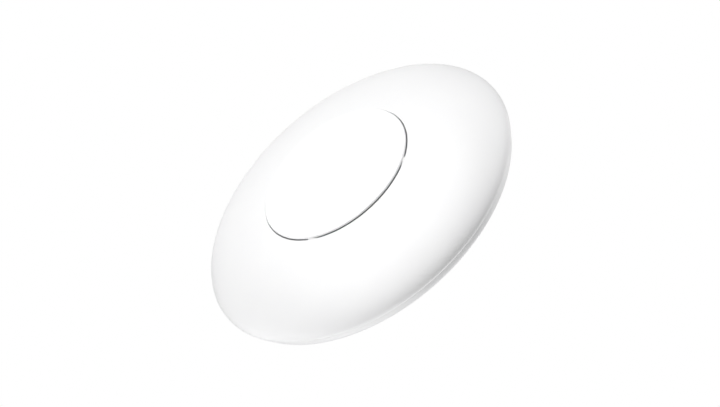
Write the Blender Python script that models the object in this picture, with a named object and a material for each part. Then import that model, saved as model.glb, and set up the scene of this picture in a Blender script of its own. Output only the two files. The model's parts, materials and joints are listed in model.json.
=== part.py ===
"""Concealed pendent fire sprinkler head in a domed, surface-mount escutcheon.

The frame: +Z points up, and z = 0 is the ceiling's surface. The cover plate faces down, and the inlet
thread points up. The origin is on the sprinkler's axis, in the plane of the base ring's rear face.
Sizes are in millimetres until a mesh is made. An outline is a list of (radius, height) corners.
"""

import math

import bmesh
import bpy
import numpy as np
from mathutils import Matrix, Vector
from mathutils.geometry import interpolate_bezier

MM = 0.001
CLEARANCE = 0.3  # between pieces that touch
BIG_STEPS, MID_STEPS, SMALL_STEPS = 56, 40, 16  # facets round large, middling and small turned pieces
MERGE_DISTANCE = 1e-4
CURVE_STEPS = 10  # points along the dome's curve
SHARP_ANGLE = math.radians(35)  # edges sharper than this stay sharp in the shading
OVERSHOOT = 1.0  # how far a cutter passes the faces that it cuts
OVERLAP = 1.0  # how far a piece that is joined on reaches into its neighbour

# Cover plate and the escutcheon's overall shape
COVER_RADIUS = 42.0
COVER_DROP = 28.0  # ceiling to the plate's face
COVER_THICKNESS = 1.0
COVER_EDGE_FILLET = 0.7
COVER_SLIT = 0.5  # between the plate's back and the shell's lip
COVER_GAP = 0.35  # between the plate's edge and the shell's opening

SHELL_RADIUS = 89.4
SHELL_WALL = 2.2
SHELL_RIM_HEIGHT = 9.4  # ceiling to the widest circle
SHELL_DOME_TILT = math.radians(7.5)  # slope of the dome where it leaves the opening
SHELL_DOME_REACH = 0.54  # how far the first handle goes over the dome's width
SHELL_DOME_FULLNESS = 0.32  # how far the second handle goes over the dome's height
SHELL_LIP_FILLET = 0.6
SHELL_COLLAR_HEIGHT = 6.0
SHELL_COLLAR_WALL = 1.6
SHELL_UNDERCUT = 1.6  # how far the rim rounds in below the widest circle
SHELL_EDGE_WIDTH = 0.6  # flat of the rear edge

# Base ring
BASE_SHELF_HEIGHT = 7.2
BASE_TAPER = 4.3  # how far the ring's wall leans in, from the shelf to the ceiling
BASE_BULGE = 0.45  # height of the wall's curve control, as a share of the shelf's height
BASE_WEB = 4.6
CEILING_HOLE_GAP = 5.6  # round the cover's retainer, inside the collar
BASE_COLLAR_WALL = 1.8
BASE_COLLAR_HEIGHT = 9.0
SPIGOT_WALL = 1.8
SPIGOT_GAP = 1.6  # between the spigot's free edge and the dome's inside, where the clips fold over
SPIGOT_INSET = 4.4  # spigot's outer wall inside the shell's inner wall
POCKET_DEPTH = 2.2
POCKET_RIB = 2.4
POCKET_LAND = 6.0  # flat ring between the collar's hole and the pockets
POCKET_SECTORS = 12
GASKET_WIDTH = 2.4
GASKET_DEPTH = 1.3
GASKET_INSET = 1.8  # land between the ring's foot and the gasket's groove

# Ceiling screws
SCREW_COUNT = 3
SCREW_CIRCLE_RADIUS = 54.0
SCREW_RADIUS = 1.9
SCREW_LENGTH = 18.0  # what goes into the ceiling
SCREW_HEAD_RADIUS = 3.9
SCREW_HEAD_HEIGHT = 2.5
SCREW_FIRST_ANGLE = math.radians(90)
WASHER_RADIUS = 5.2
WASHER_THICKNESS = 0.8
SLOT_SWEEP = math.radians(9)
SLOT_CLEARANCE = 0.5
RECESS_BLADE = 0.55  # reach of the cross recess, as a share of the head's radius
RECESS_THICKNESS = 0.15  # half-width of its blades, as a share of the same
RECESS_DEPTH = 0.6  # as a share of the head's height
HEAD_CROWN = 0.7  # radius of the head's flat, as a share of the head's radius

# Spring clips that grip the shell
CLIP_COUNT = 4
CLIP_WIDTH = 12.0
CLIP_THICKNESS = 0.5
CLIP_LEG = 5.0
CLIP_STEP = 0.6  # straight part of the outer leg, beside the spigot's edge
CLIP_CREST = 0.4  # half the height of the crest that presses on the shell
CLIP_LEAD = 1.5  # from the crest's middle up to the leg's end
CLIP_LEAD_GAP = 0.2  # extra room behind the leg's end
CLIP_FIRST_ANGLE = math.radians(45)

# Sprinkler frame: a brass casting
ORIFICE_RADIUS = 6.3
THREAD_RADIUS = 10.66
THREAD_LENGTH = 13.5
THREAD_TAPER = 1 / 32
THREAD_CHAMFER = 0.8
HEX_FLATS = 25.4
HEX_HEIGHT = 5.0
HEX_GAP = 0.5  # between the hexagon's corners and the cup's hole
NECK_RADIUS = 11.0
NECK_HEIGHT = 3.0
FLANGE_EDGE = 2.1  # past the guide pins' holes
FLANGE_THICKNESS = 3.5
FLANGE_TOP = 18.0
ARM_SPAN = 15.2
ARM_THICKNESS = 3.4
ARM_WIDTH = 5.0
KNUCKLE_RADIUS = 4.6
KNUCKLE_HEIGHT = 6.5
ARM_LEAN = 0.6  # how far the arms lean in on their way down to the shoulder
ARM_REACH = 0.9  # share of the knuckle's radius at which the arms meet it
PILOT_HEIGHT = 1.0  # of the seat cap's pilot, inside the bore

# The heat-sensitive train between the knuckle and the outlet
LOAD_SCREW_RADIUS = 2.4
LOAD_SCREW_LENGTH = 8.0
LOAD_SCREW_CUP = 0.7
LOAD_SCREW_SOCKET = 0.45  # radius of the driver's socket, as a share of the screw's
LOAD_SCREW_RIM = 0.6  # radius of the cup that holds the bulb, as a share of the same
BULB_RADIUS = 1.5
BULB_LENGTH = 20.0
BULB_TIP = 0.4  # radius of the bulb's sealed tips, as a share of the bulb's
BULB_TAPER = 1.4  # length of its rounded ends, as a share of the same
CAP_RADIUS = 7.4
CAP_BOSS_RADIUS = 3.2
CAP_PILOT_RADIUS = 2.6
CAP_HEIGHT = 2.8
CAP_FLANGE = 1.2
SEAL_THICKNESS = 0.7
SEAL_RADIUS = 8.2

# Support cup, its retaining ring, and the cover's retainer
CUP_RADIUS = 27.0
CUP_WALL = 0.9
CUP_HEIGHT = 31.0
CUP_FILLET = 2.0
CUP_VENTS = 6
CUP_VENT_WIDTH = 9.0
CUP_VENT_HEIGHT = 5.0
CUP_VENT_DROP = 3.0  # from the top's fillet to the vents
RING_THICKNESS = 1.1
RING_OVERLAP = 1.0  # of the retaining ring on the cup
RING_MOUTH = math.radians(70)
RETAINER_CLEARANCE = 0.5
RETAINER_WALL = 0.9
RETAINER_ENGAGEMENT = 7.0  # of the sleeve on the cup
TAB_HEIGHT = 4.0
TAB_COUNT = 3
TAB_WIDTH = 7.0
TAB_INSET = 1.4
TAB_FOOT = 3.6
TAB_ROOT_STEP = 0.2  # of the tab's root below the flange's upper face
TAB_END_GAP = 2.8  # between a tab's foot and the cover's edge
SOLDER_RADIUS = 2.8
SOLDER_THICKNESS = 0.5
SPRING_WIDTH = 5.0
SPRING_THICKNESS = 0.5
# The spring's bends, as shares of its reach and of its rise
SPRING_SHAPE = [(0, 1), (0.26, 1), (0.52, 0.5), (0.78, 0.07), (0.87, 0), (1, 0.17)]

# Drop-down deflector
DEFLECTOR_EDGE = 2.8  # past the guide pins' circle
DEFLECTOR_THICKNESS = 1.2
DEFLECTOR_GAP = 1.4  # below the load screw
DEFLECTOR_TINES = 12
DEFLECTOR_SLOT_WIDTH = 2.4
DEFLECTOR_HUB_RADIUS = 10.5
DEFLECTOR_TRAVEL = 16.0
PIN_RADIUS = 1.2
PIN_CHAMFER = 0.3
PIN_RUNNING_GAP = 0.35
PIN_RIVET_RADIUS = 1.9
PIN_TENON_RADIUS = 0.8
PIN_RIVET_HEIGHT = 0.8
STOP_RADIUS = 2.5
STOP_HEIGHT = 1.6
STOP_SHOULDER = 0.6  # pin above its stop

# Heights and radii that follow from the sizes above
COVER_FACE_Z = -COVER_DROP
COVER_BACK_Z = COVER_FACE_Z + COVER_THICKNESS
SHELL_FACE_Z = COVER_BACK_Z + COVER_SLIT
SHELL_RIM_Z = -SHELL_RIM_HEIGHT
OPENING_RADIUS = COVER_RADIUS + COVER_GAP
BASE_SHELF_Z = -BASE_SHELF_HEIGHT
SHELL_EDGE_Z = BASE_SHELF_Z - CLEARANCE
SHELL_EDGE_RADIUS = SHELL_RADIUS - SHELL_UNDERCUT
SHELL_INNER_RADIUS = SHELL_EDGE_RADIUS - SHELL_EDGE_WIDTH
BASE_SHELF_RADIUS = SHELL_EDGE_RADIUS - CLEARANCE
BASE_FOOT_RADIUS = BASE_SHELF_RADIUS - BASE_TAPER
SPIGOT_RADIUS = SHELL_INNER_RADIUS - SPIGOT_INSET
SPIGOT_INNER_RADIUS = SPIGOT_RADIUS - SPIGOT_WALL
BASE_WEB_Z = -BASE_WEB
GROOVE_OUTER_RADIUS = BASE_FOOT_RADIUS - GASKET_INSET
GROOVE_INNER_RADIUS = GROOVE_OUTER_RADIUS - GASKET_WIDTH - 2 * CLEARANCE
POCKET_OUTER_RADIUS = GROOVE_INNER_RADIUS - POCKET_RIB
FLANGE_Z = FLANGE_TOP - FLANGE_THICKNESS
NECK_Z = FLANGE_TOP + NECK_HEIGHT
THREAD_Z = NECK_Z + HEX_HEIGHT
THREAD_TOP_Z = THREAD_Z + THREAD_LENGTH
SEAL_TOP_Z = FLANGE_Z - CLEARANCE
CAP_TOP_Z = SEAL_TOP_Z - SEAL_THICKNESS - CLEARANCE
CAP_Z = CAP_TOP_Z - CAP_HEIGHT
BULB_TOP_Z = CAP_Z - CLEARANCE
BULB_Z = BULB_TOP_Z - BULB_LENGTH
LOAD_SCREW_TOP_Z = BULB_Z + LOAD_SCREW_CUP - CLEARANCE
LOAD_SCREW_Z = LOAD_SCREW_TOP_Z - LOAD_SCREW_LENGTH
KNUCKLE_Z = LOAD_SCREW_Z + LOAD_SCREW_CUP
DEFLECTOR_TOP_Z = LOAD_SCREW_Z - DEFLECTOR_GAP
DEFLECTOR_Z = DEFLECTOR_TOP_Z - DEFLECTOR_THICKNESS
CUP_Z = FLANGE_TOP + CLEARANCE
CUP_TOP_Z = CUP_Z + CUP_WALL
CUP_LOW_Z = CUP_TOP_Z - CUP_HEIGHT
CUP_HOLE_RADIUS = HEX_FLATS / math.sqrt(3) + HEX_GAP
RING_RADIUS = CUP_HOLE_RADIUS + RING_OVERLAP
PIN_HOLE_RADIUS = PIN_RADIUS + PIN_RUNNING_GAP
PIN_CIRCLE_RADIUS = RING_RADIUS + CLEARANCE + STOP_RADIUS
FLANGE_RADIUS = PIN_CIRCLE_RADIUS + PIN_HOLE_RADIUS + FLANGE_EDGE
DEFLECTOR_RADIUS = PIN_CIRCLE_RADIUS + DEFLECTOR_EDGE
STOP_Z = CUP_TOP_Z + CLEARANCE + DEFLECTOR_TRAVEL
RETAINER_RADIUS = CUP_RADIUS + RETAINER_CLEARANCE
RETAINER_OUTER_RADIUS = RETAINER_RADIUS + RETAINER_WALL
TAB_END_RADIUS = COVER_RADIUS - TAB_END_GAP
TAB_LEG_RADIUS = TAB_END_RADIUS - TAB_FOOT
RETAINER_FLANGE_RADIUS = TAB_LEG_RADIUS + TAB_INSET
BASE_COLLAR_RADIUS = RETAINER_OUTER_RADIUS + CEILING_HOLE_GAP
POCKET_INNER_RADIUS = BASE_COLLAR_RADIUS + POCKET_LAND
SOLDER_Z = COVER_BACK_Z + CLEARANCE
TAB_FOOT_Z = SOLDER_Z + SOLDER_THICKNESS + CLEARANCE
RETAINER_FLANGE_Z = TAB_FOOT_Z + TAB_HEIGHT
RETAINER_TOP_Z = CUP_LOW_Z + RETAINER_ENGAGEMENT
SCREW_ANGLES = [SCREW_FIRST_ANGLE + math.tau * i / SCREW_COUNT for i in range(SCREW_COUNT)]
CLIP_ANGLES = [CLIP_FIRST_ANGLE + math.tau * i / CLIP_COUNT for i in range(CLIP_COUNT)]
TAB_ANGLES = [math.tau * i / TAB_COUNT for i in range(TAB_COUNT)]
SPRING_ANGLES = [angle + math.pi / TAB_COUNT for angle in TAB_ANGLES]
PIN_ANGLES = [0.0, math.pi]


# Meshes and objects


def clear_scene():
    for obj in list(bpy.data.objects):
        bpy.data.objects.remove(obj, do_unlink=True)


def make_material(name, colour, roughness, metallic=0.0, transmission=0.0):
    material = bpy.data.materials.new(name)
    material.use_nodes = True
    shader = material.node_tree.nodes["Principled BSDF"]
    shader.inputs["Base Color"].default_value = (*colour, 1.0)
    shader.inputs["Roughness"].default_value = roughness
    shader.inputs["Metallic"].default_value = metallic
    shader.inputs["Transmission Weight"].default_value = transmission
    return material


def rounded(corners, steps=3):
    """A closed outline, with each (x, y, radius) corner made an arc and each (x, y) corner left sharp."""
    points = []
    for i, corner in enumerate(corners):
        here = Vector(corner[:2])
        if len(corner) == 2:
            points.append(here)
            continue
        back = (Vector(corners[i - 1][:2]) - here).normalized()
        ahead = (Vector(corners[(i + 1) % len(corners)][:2]) - here).normalized()
        half = back.angle(ahead) / 2
        centre = here + (back + ahead).normalized() * corner[2] / math.sin(half)
        first = here + back * corner[2] / math.tan(half) - centre
        last = here + ahead * corner[2] / math.tan(half) - centre
        turn = math.atan2(first.x * last.y - first.y * last.x, first.dot(last))
        for k in range(steps + 1):
            spoke = first.copy()
            spoke.rotate(Matrix.Rotation(turn * k / steps, 2))
            points.append(centre + spoke)
    return points


def offset_curve(points, distance):
    """The curve moved to its left by distance, point by point."""
    moved = []
    for i, point in enumerate(points):
        along = points[min(i + 1, len(points) - 1)] - points[max(i - 1, 0)]
        moved.append(point + Vector((-along.y, along.x)).normalized() * distance)
    return moved


def place(name, mesh_data, material, parent=None, at=(0, 0, 0), angle=0.0):
    """An object of the mesh, whose points are in millimetres from `at`, turned by angle about Z."""
    mesh = bpy.data.meshes.new(name)
    mesh_data.to_mesh(mesh)
    mesh_data.free()
    mesh.transform(Matrix.Scale(MM, 4))
    mesh.shade_smooth()
    mesh.set_sharp_from_angle(angle=SHARP_ANGLE)
    obj = bpy.data.objects.new(name, mesh)
    bpy.context.scene.collection.objects.link(obj)
    if material:
        mesh.materials.append(material)
    obj.location = Vector(at) * MM
    obj.rotation_euler.z = angle
    if parent:
        obj.parent = parent
        obj.location -= parent_place(parent)
    return obj


def parent_place(empty):
    """The empty's place in the world."""
    here = empty.location.copy()
    while empty.parent:
        empty = empty.parent
        here += empty.location
    return here


def make_joint(name, z, parent=None):
    """An empty on the sprinkler's axis, which carries what slides along it."""
    empty = bpy.data.objects.new(name, None)
    bpy.context.scene.collection.objects.link(empty)
    empty.location = Vector((0, 0, z * MM))
    if parent:
        empty.parent = parent
        empty.location -= parent_place(parent)
    return empty


def turned_mesh(outline, steps, base_z=0.0):
    """A solid of revolution about Z, from an outline in (radius, height) whose ends may lie on the axis."""
    mesh = bmesh.new()
    ring = [mesh.verts.new((point[0], 0, point[1] - base_z)) for point in outline]
    on_axis = outline[0][0] == 0 and outline[-1][0] == 0
    for i in range(len(ring) - on_axis):
        mesh.edges.new((ring[i], ring[(i + 1) % len(ring)]))
    bmesh.ops.spin(mesh, geom=mesh.verts[:] + mesh.edges[:], cent=(0, 0, 0), axis=(0, 0, 1),
                   angle=math.tau, steps=steps, use_merge=True)
    bmesh.ops.remove_doubles(mesh, verts=mesh.verts, dist=MERGE_DISTANCE)
    bmesh.ops.recalc_face_normals(mesh, faces=mesh.faces)
    return mesh


def turned(name, outline, steps, material, parent=None, at=(0, 0, 0)):
    return place(name, turned_mesh(outline, steps, at[2]), material, parent, at)


def add_prism(mesh, outline, low, high, turn=None):
    """Adds the outline, extruded along Z from low to high and then moved by the matrix `turn`."""
    verts = [mesh.verts.new((point[0], point[1], low)) for point in outline]
    face = mesh.faces.new(verts)
    lifted = bmesh.ops.extrude_face_region(mesh, geom=[face])["geom"]
    top = [item for item in lifted if isinstance(item, bmesh.types.BMVert)]
    bmesh.ops.translate(mesh, vec=(0, 0, high - low), verts=top)
    if turn:
        bmesh.ops.transform(mesh, matrix=turn, verts=verts + top)
    bmesh.ops.recalc_face_normals(mesh, faces=mesh.faces)


def circle(radius, steps, centre=(0, 0)):
    return [(centre[0] + radius * math.cos(math.tau * i / steps),
             centre[1] + radius * math.sin(math.tau * i / steps)) for i in range(steps)]


def sector(inner, outer, middle, sweep, steps):
    """Outline of a piece of a flat ring, about the angle `middle`."""
    angles = [middle - sweep / 2 + sweep * i / steps for i in range(steps + 1)]
    far = [(outer * math.cos(a), outer * math.sin(a)) for a in angles]
    near = [(inner * math.cos(a), inner * math.sin(a)) for a in reversed(angles)]
    return far + near


def arc_slot(radius, half_width, middle, sweep, steps=6):
    """Outline of a slot that follows a circle and has round ends."""
    points = []
    for side, start in ((1, -0.5), (-1, 0.5)):
        for i in range(steps + 1):
            a = middle + sweep * (start + side * i / steps)
            points.append(Vector((math.cos(a), math.sin(a))) * (radius + side * half_width))
        end = middle + sweep * 0.5 * side
        centre = Vector((math.cos(end), math.sin(end))) * radius
        for i in range(1, steps):
            a = end + (0 if side > 0 else math.pi) + math.pi * i / steps
            points.append(centre + Vector((math.cos(a), math.sin(a))) * half_width)
    return points


def radial_strip_mesh(outline, width):
    """A strip whose (x, z) outline is given, extruded along Y about the XZ plane."""
    mesh = bmesh.new()
    upright = Matrix.Rotation(math.radians(90), 4, "X")
    add_prism(mesh, outline, -width / 2, width / 2, upright)
    return mesh


def thick_path(points, thickness):
    """Closed outline of a bent strip: the path and the same path moved to its left."""
    path = [Vector(point) for point in points]
    return path + list(reversed(offset_curve(path, thickness)))


def boolean(obj, mesh_data, operation, name, at=(0, 0, 0)):
    """Cuts the mesh from the object, or joins it on. The tool stays in the scene as a hidden wire."""
    tool = place(name, mesh_data, None, at=at)
    tool.hide_render = True
    tool.display_type = "WIRE"
    modifier = obj.modifiers.new(name, "BOOLEAN")
    modifier.operation = operation
    modifier.object = tool
    modifier.solver = "EXACT"


# The escutcheon


def dome_curve(count):
    """The dome's outside, from the lip of the opening to the widest circle."""
    start = Vector((OPENING_RADIUS + SHELL_LIP_FILLET, SHELL_FACE_Z))
    end = Vector((SHELL_RADIUS, SHELL_RIM_Z))
    slope = Vector((math.cos(SHELL_DOME_TILT), math.sin(SHELL_DOME_TILT)))
    first = start + slope * (end.x - start.x) * SHELL_DOME_REACH
    second = end - Vector((0, (end.y - start.y) * SHELL_DOME_FULLNESS))
    return interpolate_bezier(start, first, second, end, count)


def dome_inside():
    """The dome's inside, from the collar to the straight wall inside the rim."""
    return [*(p for p in offset_curve(dome_curve(CURVE_STEPS - 2), SHELL_WALL)
              if OPENING_RADIUS + SHELL_COLLAR_WALL < p.x < SHELL_INNER_RADIUS - SHELL_WALL / 2),
            Vector((SHELL_INNER_RADIUS, SHELL_RIM_Z - SHELL_WALL / 2))]


def spigot_end():
    """Height of the spigot's free edge, a gap short of the dome's inside."""
    curve = dome_inside()
    return float(np.interp(SPIGOT_RADIUS, [p.x for p in curve], [p.y for p in curve])) + SPIGOT_GAP


def make_domed_shell(white, joint):
    outside = dome_curve(CURVE_STEPS)
    inside = dome_inside()
    lip_centre = Vector((OPENING_RADIUS + SHELL_LIP_FILLET, SHELL_FACE_Z + SHELL_LIP_FILLET))
    lip = [lip_centre - Vector((math.cos(a), math.sin(a))) * SHELL_LIP_FILLET
           for a in (0, math.radians(45))]
    under_height = SHELL_EDGE_Z - SHELL_RIM_Z
    under = [Vector((SHELL_RADIUS - SHELL_UNDERCUT * (1 - math.cos(a)),
                     SHELL_RIM_Z + under_height * math.sin(a)))
             for a in (math.radians(30), math.radians(60), math.radians(90))]
    collar_z = SHELL_FACE_Z + SHELL_COLLAR_HEIGHT
    collar_root = Vector((OPENING_RADIUS + SHELL_COLLAR_WALL, inside[0].y))
    outline = [Vector((OPENING_RADIUS, collar_z)), *lip, *outside, *under,
               Vector((SHELL_INNER_RADIUS, SHELL_EDGE_Z)),
               *reversed(inside), collar_root,
               Vector((OPENING_RADIUS + SHELL_COLLAR_WALL, collar_z))]
    turned("domed_shell", outline, BIG_STEPS, white, joint, (0, 0, SHELL_RIM_Z))


def make_base_ring(white):
    foot = Vector((BASE_FOOT_RADIUS, 0))
    shelf = Vector((BASE_SHELF_RADIUS, BASE_SHELF_Z))
    bulge = Vector((BASE_SHELF_RADIUS, BASE_SHELF_Z * BASE_BULGE))
    wall = interpolate_bezier(shelf, bulge, bulge, foot, CURVE_STEPS // 2)
    collar_z = -BASE_COLLAR_HEIGHT
    collar_radius = BASE_COLLAR_RADIUS + BASE_COLLAR_WALL
    spigot_z = spigot_end()
    outline = [*wall,
               Vector((GROOVE_OUTER_RADIUS, 0)), Vector((GROOVE_OUTER_RADIUS, -GASKET_DEPTH - CLEARANCE)),
               Vector((GROOVE_INNER_RADIUS, -GASKET_DEPTH - CLEARANCE)), Vector((GROOVE_INNER_RADIUS, 0)),
               Vector((BASE_COLLAR_RADIUS, 0)), Vector((BASE_COLLAR_RADIUS, collar_z)),
               Vector((collar_radius, collar_z)), Vector((collar_radius, BASE_WEB_Z)),
               Vector((SPIGOT_INNER_RADIUS, BASE_WEB_Z)), Vector((SPIGOT_INNER_RADIUS, spigot_z)),
               Vector((SPIGOT_RADIUS, spigot_z)), Vector((SPIGOT_RADIUS, BASE_SHELF_Z))]
    base = turned("base_ring", outline, BIG_STEPS, white)

    pockets = bmesh.new()
    pitch = math.tau / POCKET_SECTORS
    for i in range(POCKET_SECTORS):
        middle = SCREW_FIRST_ANGLE + pitch * i
        if i % (POCKET_SECTORS // SCREW_COUNT):
            outline = sector(POCKET_INNER_RADIUS, POCKET_OUTER_RADIUS, middle,
                             pitch - POCKET_RIB / POCKET_INNER_RADIUS, 5)
            add_prism(pockets, outline, -POCKET_DEPTH, OVERSHOOT)
    boolean(base, pockets, "DIFFERENCE", "rear_pockets")

    slots = bmesh.new()
    for middle in SCREW_ANGLES:
        outline = arc_slot(SCREW_CIRCLE_RADIUS, SCREW_RADIUS + SLOT_CLEARANCE, middle, SLOT_SWEEP)
        add_prism(slots, outline, BASE_WEB_Z - OVERSHOOT, OVERSHOOT)
    boolean(base, slots, "DIFFERENCE", "screw_slots")


def make_ceiling_gasket(rubber):
    outer = GROOVE_OUTER_RADIUS - CLEARANCE
    inner = GROOVE_INNER_RADIUS + CLEARANCE
    outline = [(outer, 0), (outer, -GASKET_DEPTH), (inner, -GASKET_DEPTH), (inner, 0)]
    turned("ceiling_gasket", outline, BIG_STEPS, rubber)


def make_ceiling_screws(steel):
    washer_top = BASE_WEB_Z - CLEARANCE
    washer_z = washer_top - WASHER_THICKNESS
    seat = washer_z - CLEARANCE
    head_z = seat - SCREW_HEAD_HEIGHT
    tip = SCREW_LENGTH - 2 * SCREW_RADIUS
    screw_outline = [(0, SCREW_LENGTH), (SCREW_RADIUS, tip), (SCREW_RADIUS, seat),
                     (SCREW_HEAD_RADIUS, seat), (SCREW_HEAD_RADIUS, head_z + SCREW_HEAD_HEIGHT / 2),
                     (SCREW_HEAD_RADIUS * HEAD_CROWN, head_z), (0, head_z)]
    hole = SCREW_RADIUS + CLEARANCE
    washer_outline = [(WASHER_RADIUS, washer_top), (WASHER_RADIUS, washer_z), (hole, washer_z),
                      (hole, washer_top)]
    for i, angle in enumerate(SCREW_ANGLES, 1):
        x = SCREW_CIRCLE_RADIUS * math.cos(angle)
        y = SCREW_CIRCLE_RADIUS * math.sin(angle)
        screw = turned(f"ceiling_screw_{i}", screw_outline, SMALL_STEPS, steel, at=(x, y, seat))
        recess = bmesh.new()
        blade = SCREW_HEAD_RADIUS * RECESS_BLADE
        thin = SCREW_HEAD_RADIUS * RECESS_THICKNESS
        cross = [(blade, -thin), (blade, thin), (thin, thin), (thin, blade), (-thin, blade),
                 (-thin, thin), (-blade, thin), (-blade, -thin), (-thin, -thin), (-thin, -blade),
                 (thin, -blade), (thin, -thin)]
        add_prism(recess, cross, head_z - OVERSHOOT, head_z + SCREW_HEAD_HEIGHT * RECESS_DEPTH)
        boolean(screw, recess, "DIFFERENCE", f"screw_recess_{i}", at=(x, y, 0))
        turned(f"screw_washer_{i}", washer_outline, SMALL_STEPS, steel, at=(x, y, washer_z))


def make_shell_clips(steel):
    """Spring clips pushed over the spigot's free edge, whose outer legs press on the shell's wall."""
    sagitta = CLIP_WIDTH**2 / (8 * SPIGOT_INNER_RADIUS)
    facet = SPIGOT_RADIUS * (1 - math.cos(math.pi / BIG_STEPS))
    inner = SPIGOT_INNER_RADIUS - sagitta - facet - CLEARANCE
    outer = SPIGOT_RADIUS + CLEARANCE
    crest = SHELL_INNER_RADIUS - sagitta - facet - CLEARANCE - CLIP_THICKNESS
    top = spigot_end() - CLEARANCE
    path = [(inner, top + CLIP_LEG), (inner, top), (outer, top), (outer, top + CLIP_STEP),
            (crest, SHELL_RIM_Z - CLIP_CREST), (crest, SHELL_RIM_Z + CLIP_CREST),
            (outer + CLIP_LEAD_GAP, SHELL_RIM_Z + CLIP_LEAD)]
    outline = thick_path(path, -CLIP_THICKNESS)
    for i, angle in enumerate(CLIP_ANGLES, 1):
        place(f"shell_clip_{i}", radial_strip_mesh(outline, CLIP_WIDTH), steel, angle=angle)


# The sprinkler


def make_sprinkler_frame(brass):
    thread_end = THREAD_RADIUS - (THREAD_LENGTH - THREAD_CHAMFER) * THREAD_TAPER
    outline = [(0, THREAD_TOP_Z), (thread_end - THREAD_CHAMFER, THREAD_TOP_Z),
               (thread_end, THREAD_TOP_Z - THREAD_CHAMFER), (THREAD_RADIUS, THREAD_Z),
               (NECK_RADIUS, THREAD_Z), (NECK_RADIUS, FLANGE_TOP), (FLANGE_RADIUS, FLANGE_TOP),
               (FLANGE_RADIUS, FLANGE_Z), (0, FLANGE_Z)]
    frame = turned("sprinkler_frame", outline, MID_STEPS, brass)

    hexagon = bmesh.new()
    corners = circle(HEX_FLATS / math.sqrt(3), 6)
    quarter = Matrix.Rotation(math.radians(90), 4, "Z")
    add_prism(hexagon, corners, NECK_Z, THREAD_Z - CLEARANCE, quarter)
    boolean(frame, hexagon, "UNION", "wrench_hexagon")

    knuckle_top = KNUCKLE_Z + KNUCKLE_HEIGHT
    shoulder = knuckle_top + ARM_THICKNESS
    root = FLANGE_Z + OVERLAP
    reach = KNUCKLE_RADIUS * ARM_REACH
    low_span = ARM_SPAN - ARM_LEAN
    half_arch = [(ARM_SPAN, root), (low_span, shoulder), (reach, KNUCKLE_Z + OVERLAP)]
    inner_arch = [(reach, knuckle_top - OVERLAP), (low_span - ARM_THICKNESS, shoulder + OVERLAP),
                  (ARM_SPAN - ARM_THICKNESS, root)]
    arch = [*half_arch, *[(-x, z) for x, z in reversed(half_arch)],
            *[(-x, z) for x, z in reversed(inner_arch)], *inner_arch]
    arms = radial_strip_mesh(arch, ARM_WIDTH)
    bmesh.ops.rotate(arms, cent=(0, 0, 0), matrix=Matrix.Rotation(math.radians(90), 3, "Z"), verts=arms.verts)
    boolean(frame, arms, "UNION", "frame_arms")

    knuckle = bmesh.new()
    add_prism(knuckle, circle(KNUCKLE_RADIUS, SMALL_STEPS), KNUCKLE_Z, knuckle_top)
    boolean(frame, knuckle, "UNION", "frame_knuckle")

    holes = bmesh.new()
    add_prism(holes, circle(ORIFICE_RADIUS, MID_STEPS), FLANGE_Z - OVERSHOOT, THREAD_TOP_Z + OVERSHOOT)
    add_prism(holes, circle(LOAD_SCREW_RADIUS + CLEARANCE, SMALL_STEPS),
              KNUCKLE_Z - OVERSHOOT, knuckle_top + OVERSHOOT)
    for angle in PIN_ANGLES:
        centre = (PIN_CIRCLE_RADIUS * math.cos(angle), 0)
        add_prism(holes, circle(PIN_HOLE_RADIUS, SMALL_STEPS, centre),
                  FLANGE_Z - OVERSHOOT, FLANGE_TOP + OVERSHOOT)
    boolean(frame, holes, "DIFFERENCE", "frame_holes")


def make_load_train(brass, glass, copper, nickel):
    """What holds the outlet shut: load screw, bulb, seat cap and disc spring seal."""
    socket = LOAD_SCREW_RADIUS * LOAD_SCREW_SOCKET
    turned("load_screw",
           [(0, LOAD_SCREW_TOP_Z - LOAD_SCREW_CUP), (LOAD_SCREW_RADIUS * LOAD_SCREW_RIM, LOAD_SCREW_TOP_Z),
            (LOAD_SCREW_RADIUS, LOAD_SCREW_TOP_Z), (LOAD_SCREW_RADIUS, LOAD_SCREW_Z),
            (socket, LOAD_SCREW_Z), (socket, LOAD_SCREW_Z + LOAD_SCREW_RADIUS),
            (0, LOAD_SCREW_Z + LOAD_SCREW_RADIUS)], SMALL_STEPS, brass)

    tip = BULB_RADIUS * BULB_TIP
    taper = BULB_RADIUS * BULB_TAPER
    turned("glass_bulb",
           [(0, BULB_TOP_Z), (tip, BULB_TOP_Z - tip / 2), (BULB_RADIUS, BULB_TOP_Z - taper),
            (BULB_RADIUS, BULB_Z + taper), (tip, BULB_Z + tip), (0, BULB_Z)],
           SMALL_STEPS, glass, at=(0, 0, BULB_Z))

    pilot_top = FLANGE_Z + PILOT_HEIGHT
    cap_flange_z = CAP_TOP_Z - CAP_FLANGE
    turned("seat_cap",
           [(0, pilot_top), (CAP_PILOT_RADIUS, pilot_top), (CAP_PILOT_RADIUS, CAP_TOP_Z),
            (CAP_RADIUS, CAP_TOP_Z), (CAP_RADIUS, cap_flange_z), (CAP_BOSS_RADIUS, cap_flange_z),
            (CAP_BOSS_RADIUS, CAP_Z), (tip * 2, CAP_Z), (0, CAP_Z + tip)],
           SMALL_STEPS, copper, at=(0, 0, CAP_Z))

    hole = CAP_PILOT_RADIUS + CLEARANCE
    turned("disc_spring_seal",
           [(SEAL_RADIUS, SEAL_TOP_Z), (SEAL_RADIUS, SEAL_TOP_Z - SEAL_THICKNESS),
            (hole, SEAL_TOP_Z - SEAL_THICKNESS), (hole, SEAL_TOP_Z)], 32, nickel)


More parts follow.
